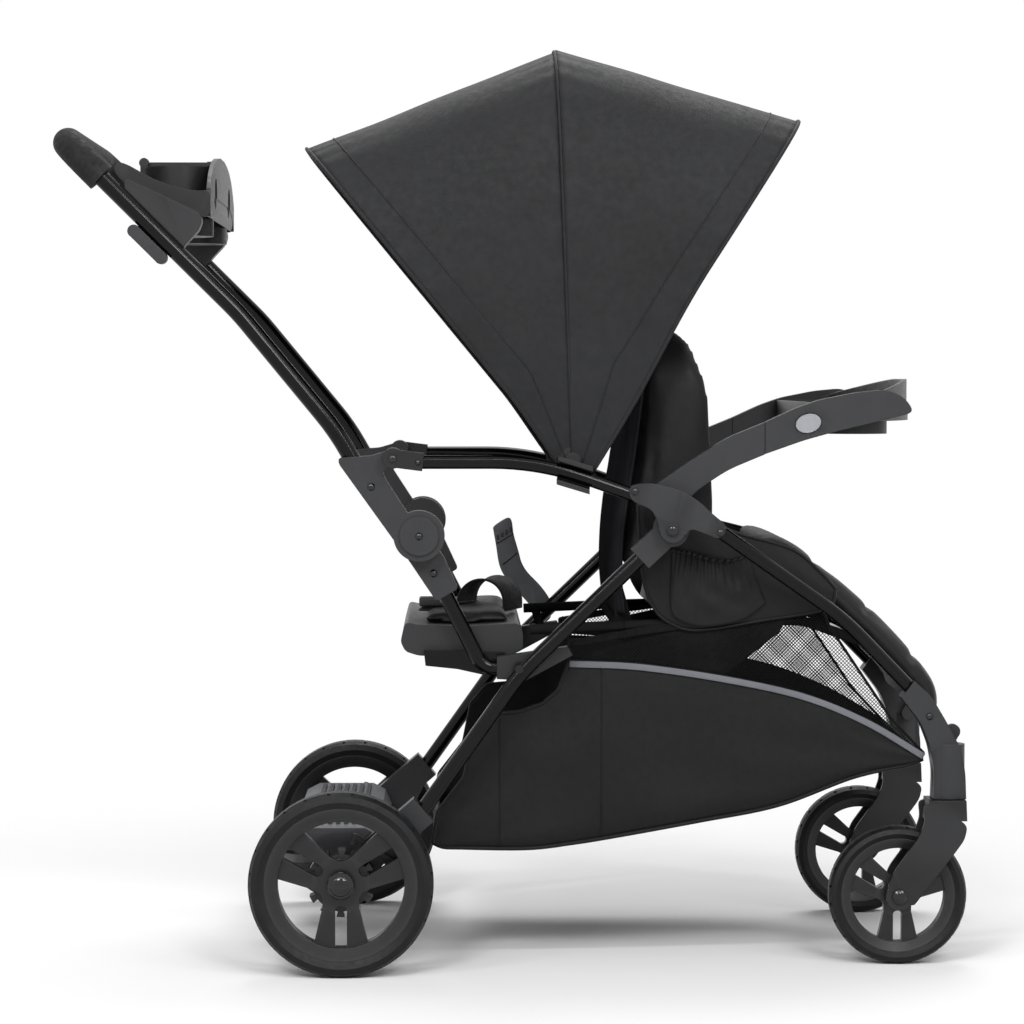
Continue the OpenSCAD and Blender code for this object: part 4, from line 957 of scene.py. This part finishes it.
# X of the two upright seams, and the rim's points that they start from
SEAMS, SEAM_RIM = (-16, 105), np.array(WALL_TOP[4:]).T
TRIM_WIDTH, TRIM_THICK = 0.0075, 0.0016


def bag_wall(piece, side):
    """One side of the bag with its hems, seams and stripe; gives back its area."""
    G = between(spaced(WALL_TOP, 120), smooth_line(WALL_LOW, 120), 40)
    v, u = unit_grid(40, 120)
    hold = np.sin(np.pi * v) ** 0.6 * np.sin(np.pi * u) ** 0.4
    y = WALL_Y + hold * (1.4 + 2.1 * waves(u * 1.4, v, WALL_SEEDS[side], 7, 0.5, 2.6))
    y = y - 5.0 * np.clip((v - 0.86) / 0.14, 0, 1) ** 2
    P = upright(G, side * y)
    piece.slab(P, upright(G, side * (y - WALL_CLOTH)))
    piece.tube(upright(spaced(WALL_TOP, 200), side * RIM_Y), RIM_CORD)
    piece.tube(upright(smooth_line(WALL_LOW, 160), side * FLOOR_HEM_Y), FLOOR_CORD)
    for x in SEAMS:
        top, low = np.interp(x, *SEAM_RIM), np.interp(x, *np.array(WALL_LOW).T)
        z = np.linspace(top - 4, low + 5, 40)
        y = STITCH_Y + 0.9 * np.sin(np.pi * ((top - z) / (top - low)))
        piece.tube(points(x, side * y, z), BAG_STITCH, sides=6)
    stripe = upright(smooth_line(TRIM, 110) - np.array([0.0, 3.2]), side * TRIM_Y)
    piece.band(stripe, (0.1, 0, 1), TRIM_WIDTH, TRIM_THICK, 1)
    return area_of(P)


def basket_bag():
    piece = Piece()
    cut = sum(bag_wall(piece, side) for side, _ in SIDES)
    low = smooth_line(WALL_LOW, 90)
    y = np.linspace(-FLOOR_HALF, FLOOR_HALF, 60)
    i = np.linspace(0, 1, 90)[:, None]
    sag = np.sin(np.pi * i) ** 0.8 * np.cos(np.pi * y / 400) * 4.0
    lump = waves(i * 2, y / 385, 41, 6, 0.6, 2.6) * np.sin(np.pi * i) * np.cos(np.pi * y / 390)
    P = points(low[:, :1], y, low[:, 1:] - sag + lump * 1.5 + 1.2)
    piece.slab(P, P + np.array([0, 0, FLOOR_CLOTH]))
    cut += area_of(P)
    for x0, z0, x1, z1 in BAG_ENDS:
        v, u = np.meshgrid(np.linspace(0, 1, 10), np.linspace(-1, 1, 60), indexing="ij")
        droop = 2.0 * (1 - u**2) * v
        P = points(x0 + (x1 - x0) * v, u * END_HALF, z0 + (z1 - z0) * v - droop)
        piece.slab(P, P + np.array([-END_CLOTH if x0 > 0 else END_CLOTH, 0, 0]))
        cut += area_of(P)
        piece.tube(P[-1], END_CORD)
    o = piece.build("basket_bag", ["cloth", "trim"])
    place(o, "front_frame", "basket")


NET_TOP = [
    [67, 384], [150, 399], [221, 408], [300, 418], [366, 429], [376, 402], [450, 292], [489, 251],
]
NET_LOW = TRIM
LINING_TOP = [[67, 365], [150, 387], [221, 403], [330, 421]]
LINING_LOW = [[67, 365], [150, 359], [253, 344], [276, 362], [318, 396], [330, 421]]
# The net's top left corner, its pitch, the counts of threads each way and the box that holds it
NET_X, NET_Z, NET_PITCH = 67, 400, 4.4
NET_DOWN, NET_ACROSS = range(-30, 160), range(-160, 80)
NET_BOX = (67, 490, 249, 430)
NET_Y, NET_CORD_Y, NET_BAND_Y, LINING_OUT, LINING_IN = 196.3, 196.4, 197.0, 195.6, 195.2
NET_THREAD, NET_CORD, NET_BAND = 0.0012, 0.0017, 0.008


def inside(p, poly):
    x, y = p
    hit = False
    for k in range(len(poly)):
        (x1, y1), (x2, y2) = poly[k], poly[k - 1]
        if (y1 > y) != (y2 > y) and x < (x2 - x1) * (y - y1) / (y2 - y1) + x1:
            hit = not hit
    return hit


def net_threads(side, tag, outline):
    """Knitted net: crossing threads at a fine pitch, cut to the outline."""
    b = bmesh.new()
    index = {}

    def corner(i, j):
        if (i, j) not in index:
            x, z = NET_X + (i - j) * NET_PITCH / 2, NET_Z - (i + j) * NET_PITCH / 2
            dip = 0.5 * math.sin(x * 0.05) + 0.4 * math.sin(z * 0.09)
            index[i, j] = b.verts.new((x * MM, side * (NET_Y + dip) * MM, z * MM))
        return index[i, j]

    x0, x1, z0, z1 = NET_BOX
    for i in NET_DOWN:
        for j in NET_ACROSS:
            x, z = NET_X + (i - j) * NET_PITCH / 2, NET_Z - (i + j + 1) * NET_PITCH / 2
            if x0 < x < x1 and z0 < z < z1 and inside((x, z), outline):
                steps = ((i, j), (i + 1, j), (i + 1, j + 1), (i, j + 1))
                b.faces.new([corner(*step) for step in steps])
    me = bpy.data.meshes.new("net")
    b.to_mesh(me)
    b.free()
    o = add_object("basket_net_" + tag, me)
    w = o.modifiers.new("threads", "WIREFRAME")
    w.thickness, w.use_even_offset, w.use_boundary = NET_THREAD, False, True
    apply_all(o)
    o.data.materials.append(mats["mesh"])
    return o


def basket_net(side, tag):
    """The net, its bound edges, and the lining that shows through its rear half."""
    outline = [*map(tuple, spaced(NET_TOP, 70)), *map(tuple, smooth_line(NET_LOW, 60)[::-1])]
    threads = net_threads(side, tag, outline)
    piece = Piece()
    piece.tube(upright(np.array(outline + outline[:1]), side * NET_CORD_Y), NET_CORD)
    hem = upright(spaced(NET_TOP[:5], 60) + np.array([0.0, -3.0]), side * NET_BAND_Y)
    piece.band(hem, (0, 0, 1), NET_BAND, NET_THREAD)
    G = between(spaced(LINING_TOP, 40), spaced(LINING_LOW, 40), 12)
    piece.slab(upright(G, side * LINING_OUT), upright(G, side * LINING_IN), 1)
    edge = piece.build("basket_net_edge_" + tag, ["mesh", "lining"])
    place(threads, "front_frame")
    place(edge, "front_frame", "basket_mesh")


basket_bag()
for side, tag in SIDES:
    basket_net(side, tag)


# Bench belt: a webbing loop over the rear bench with a side-release buckle, in millimetres

LOOP_X, LOOP_Z, LOOP_R, LOOP_FOOT_Z = -26, 418, 28.6, 409
LOOP_WIDTH, LOOP_THICK, RIDGE_Y, RIDGE_WIDTH, RIDGE_THICK = 0.078, 0.0032, 33, 0.006, 0.0012
TAIL_WIDTH, TAIL_THICK, TAIL_LIFT = 0.026, 0.0024, 0.002
BELT_BUCKLE, BELT_TONGUE = (0.034, 0.03, 0.011), (0.02, 0.028, 0.009)
ABOVE_BENCH = 474
# The loop stands a little askew on the bench
LOOP_SKEW = np.array([0.32, 1.0, 0.0]) / np.linalg.norm([0.32, 1.0, 0.0])


def bench_belt():
    piece = Piece()
    a = np.linspace(math.pi, 0, 40)
    arch = stack(LOOP_X + LOOP_R * np.cos(a), 0, LOOP_Z + LOOP_R * np.sin(a))
    z = np.linspace(LOOP_FOOT_Z, LOOP_Z, 5)[:-1]
    rear, front = stack(LOOP_X - LOOP_R, 0, z), stack(LOOP_X + LOOP_R, 0, z[::-1])
    line = np.vstack([rear, arch, front]) * MM
    piece.band(line, LOOP_SKEW, LOOP_WIDTH, LOOP_THICK)
    for y in (-RIDGE_Y, RIDGE_Y):
        ridge = line + LOOP_SKEW * y * MM + np.array([0, 0, 0.0018])
        piece.band(ridge, LOOP_SKEW, RIDGE_WIDTH, RIDGE_THICK)
    starts = points(np.linspace(-56, -104, 24), np.linspace(-8, -96, 24), ABOVE_BENCH)
    tail = soften(cast(bench, starts, DOWN, TAIL_LIFT))
    piece.band(tail, (0.85, -0.5, 0), TAIL_WIDTH, TAIL_THICK)
    piece.block(tuple(tail[-4] + np.array([0, 0, 0.006])), BELT_BUCKLE, 1)
    piece.block(tuple(tail[-9] + np.array([0, 0, 0.0055])), BELT_TONGUE, 1)
    o = piece.build("bench_belt_webbing", ["webbing", "casting"])
    place(o, "lower_pusher", "bench_belt")
    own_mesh(o)


bench_belt()


# Storage latch: a wide bent strap with two ribs and four slots, in millimetres

LATCH = [
    [-19, 500], [-15, 477], [-10, 449], [1.5, 429], [20, 409], [35, 391], [36, 382], [41, 376],
    [48, 375], [55, 379], [58, 387], [56, 405], [44, 423], [27, 441], [19, 454], [14.5, 470],
    [8.5, 491], [5.7, 509], [0.3, 513.5], [-15, 504.5],
]
LATCH_RIBS = [((-14, 480), (8, 493)), ((-6, 452), (12, 467))]
LATCH_SLOTS = [(-12.5, 488), (-7, 491.2), (-1.5, 494.4), (4, 497.6)]
RIB_RADIUS, SLOT_SIZE = 0.0011, (0.0032, 0.0008, 0.0062)


def storage_latch():
    (_, near, _), (_, far, _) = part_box("storage_latch")
    flat = spaced(smooth_line([*LATCH, LATCH[0]], 140), 121)[:-1]
    along = np.roll(flat, -1, 0) - np.roll(flat, 1, 0)
    out = np.stack([along[:, 1], -along[:, 0]], 1) / np.linalg.norm(along, axis=1, keepdims=True)
    if ((flat - flat.mean(0)) * out).sum() < 0:
        out = -out
    insets = ((1.2, near), (0.35, near + 0.0003), (0, near + 0.001), (0, far - 0.001), (1.0, far))
    rings = []
    for inset, y in insets:
        edge = (flat - out * inset) * MM
        rings.append(stack(edge[:, 0], y, edge[:, 1]))
    piece = Piece()
    piece.loft(rings)
    for a, b in LATCH_RIBS:
        rib = np.linspace(a, b, 12) * MM
        piece.tube(stack(rib[:, 0], near, rib[:, 1]), RIB_RADIUS, 1)
    for x, z in LATCH_SLOTS:
        piece.block((x * MM, near, z * MM), SLOT_SIZE, 1)
    o = piece.build("storage_latch_strap", ["grey_plastic", "rim"])
    place(o, "storage_latch", "storage_latch")


storage_latch()


# Small fittings that ride on the frame: hub caps and screw heads

# The caps' profile: shares of the radius and of the height
CAP = [
    (1.0, 0.0), (1.0, 0.18), (0.93, 0.42), (0.78, 0.5), (0.74, 0.62), (0.55, 0.86), (0.3, 0.97),
    (0.04, 1.0),
]
# Screw heads: body, X, Z, the Y of the face that they sit on, and radius, in millimetres
SCREWS = [
    ("handle", -167, 570, 249.2, 4.6), ("handle", -111, 512, 252.2, 4.6),
    ("lower_pusher", -94, 467, 224.2, 4.6), ("front_frame", -141.5, 603.5, 269.4, 5.0),
    ("front_frame", -112, 599, 269.4, 3.6), ("front_frame", 185, 520, 272.6, 6.2),
    ("front_frame", 141, 565, 269.4, 4.6), ("front_frame", 241, 517, 269.4, 4.6),
    ("front_frame", 494, 296, 213, 4.4),
]
SCREW_HEIGHT = 2.8 * MM
REAR_HUB, REAR_CAP = (-0.202, 0.2962, 0.108), (0.0162, 0.0086)
FRONT_HUB, FRONT_CAP = (0.458, 0.197 + 0.0275, 0.082), (0.009, 0.003)


def dome(name, body, centre, r, h, side, look):
    """A turned cap along Y, on either side."""
    x, y, z = centre
    a = np.linspace(0, 2 * np.pi, 48, endpoint=False)
    rings = []
    for p, q in CAP:
        rings.append(stack(x + r * p * np.cos(a), side * y + side * h * q, z + r * p * np.sin(a)))
    piece = Piece()
    piece.loft(rings)
    o = piece.build(name, [look])
    place(o, body)


for side, tag in SIDES:
    for i, (body, x, z, face, r) in enumerate(SCREWS):
        centre = (x * MM, face * MM, z * MM)
        dome(f"screw_{i}_{tag}", body, centre, r * MM, SCREW_HEIGHT, side, "rivet")
    dome("rear_hub_cap_" + tag, "rear_wheel_" + tag, REAR_HUB, *REAR_CAP, side, "hubcap")
    dome("front_hub_cap_" + tag, "caster_" + tag, FRONT_HUB, *FRONT_CAP, side, "hubcap")


# Floor, light and camera

# The floor's half size, how far below the wheels it is, and where it starts and ends to turn white
FLOOR_SIZE, FLOOR_GAP, FADE_FROM, FADE_TO = 40, 0.0005, 0.55, 1.5
AIM = (0, 0, 0.5)
# The world's strength as light, and as the backdrop that is seen
WORLD_LIGHT, WORLD_SEEN = 0.4, 1.0
# The photograph's focal length and width in pixels, and how the camera turns in degrees
FOCAL_PX, IMAGE_PX, SENSOR = 3409, 1024, 36.0
EYE, PITCH, YAW = (-0.069, -4.236, 0.697), 2.25, -0.96


def stage_set():
    """A pale floor that keeps the shadow near the part and turns into the white backdrop."""
    b = bmesh.new()
    bmesh.ops.create_grid(b, x_segments=1, y_segments=1, size=FLOOR_SIZE)
    me = bpy.data.meshes.new("floor")
    b.to_mesh(me)
    b.free()
    floor = add_object("floor", me)
    floor.location = (0, 0, -FLOOR_GAP)
    s = Shader("floor")
    s.color(s.ramp(s.noise(2.0), [(0.3, (0.9, 0.9, 0.9)), (0.7, (0.93, 0.93, 0.93))]))
    s.fixed(Roughness=0.9, Specular_IOR_Level=0.05)
    path = s.node("ShaderNodeLightPath")
    seen = s.math("MAXIMUM", path.outputs["Is Camera Ray"], path.outputs["Is Glossy Ray"])
    seen = s.math("MAXIMUM", seen, path.outputs["Is Transmission Ray"])
    far = s.node("ShaderNodeVectorMath")
    far.operation = "LENGTH"
    s.link(s.place, far.inputs[0])
    fade = s.node("ShaderNodeMapRange")
    fade.interpolation_type = "SMOOTHSTEP"
    fade.inputs["From Min"].default_value = FADE_FROM
    fade.inputs["From Max"].default_value = FADE_TO
    s.link(far.outputs["Value"], fade.inputs["Value"])
    white = s.node("ShaderNodeEmission", Strength=1.0)
    blend = s.node("ShaderNodeMixShader")
    s.link(s.math("MULTIPLY", seen, fade.outputs["Result"]), blend.inputs[0])
    s.link(s.bsdf.outputs["BSDF"], blend.inputs[1])
    s.link(white.outputs["Emission"], blend.inputs[2])
    s.link(blend.outputs["Shader"], s.tree.nodes["Material Output"].inputs["Surface"])
    me.materials.append(s.mat)


def lamp(name, at, aim, size, power, thin=None, roll=0):
    """A soft disc of light in watts, or a strip when it has a second size."""
    light = bpy.data.lights.new(name, "AREA")
    light.shape, light.size, light.energy = "DISK", size, power
    if thin:
        light.shape, light.size_y = "RECTANGLE", thin
    o = add_object(name, light)
    o.location = at
    o.rotation_mode = "QUATERNION"
    turn = Quaternion((0, 0, 1), math.radians(roll))
    o.rotation_quaternion = (Vector(aim) - Vector(at)).to_track_quat("-Z", "Y") @ turn


def backdrop():
    """A white world that lights the part less than it shows."""
    world = bpy.data.worlds.new("studio")
    scene.world = world
    world.use_nodes = True
    tree = world.node_tree
    sky = tree.nodes["Background"]
    path = tree.nodes.new("ShaderNodeLightPath")
    seen = path.outputs["Is Camera Ray"]
    for ray in ("Is Glossy Ray", "Is Transmission Ray"):
        larger = tree.nodes.new("ShaderNodeMath")
        larger.operation = "MAXIMUM"
        tree.links.new(seen, larger.inputs[0])
        tree.links.new(path.outputs[ray], larger.inputs[1])
        seen = larger.outputs["Value"]
    pick = tree.nodes.new("ShaderNodeMix")
    pick.data_type = "FLOAT"
    pick.inputs[2].default_value, pick.inputs[3].default_value = WORLD_LIGHT, WORLD_SEEN
    tree.links.new(seen, pick.inputs[0])
    tree.links.new(pick.outputs[0], sky.inputs["Strength"])
    sky.inputs["Color"].default_value = (1, 1, 1, 1)


def camera():
    cam = bpy.data.cameras.new("camera")
    cam.sensor_width = SENSOR
    cam.lens = SENSOR * FOCAL_PX / IMAGE_PX
    o = add_object("camera", cam)
    o.location = EYE
    o.rotation_euler = (math.radians(90 - PITCH), 0, math.radians(YAW))
    scene.camera = o


stage_set()
lamp("key", (-1.15, -3.5, 2.7), AIM, 0.95, 54)
lamp("fill", (1.2, -3.5, 2.5), AIM, 0.95, 43)
lamp("strip", (0.1, -2.4, 3.1), AIM, 3.0, 26, 0.06)
lamp("strip_left", (-2.3, -2.7, 2.8), AIM, 1.6, 20, 0.14, 57)
lamp("strip_right", (2.3, -2.7, 2.8), AIM, 1.6, 20, 0.14, -57)
lamp("top", (0.2, 1.4, 3.6), (0, 0, 0.4), 2.4, 62)
backdrop()
camera()
scene.view_settings.view_transform = "Standard"
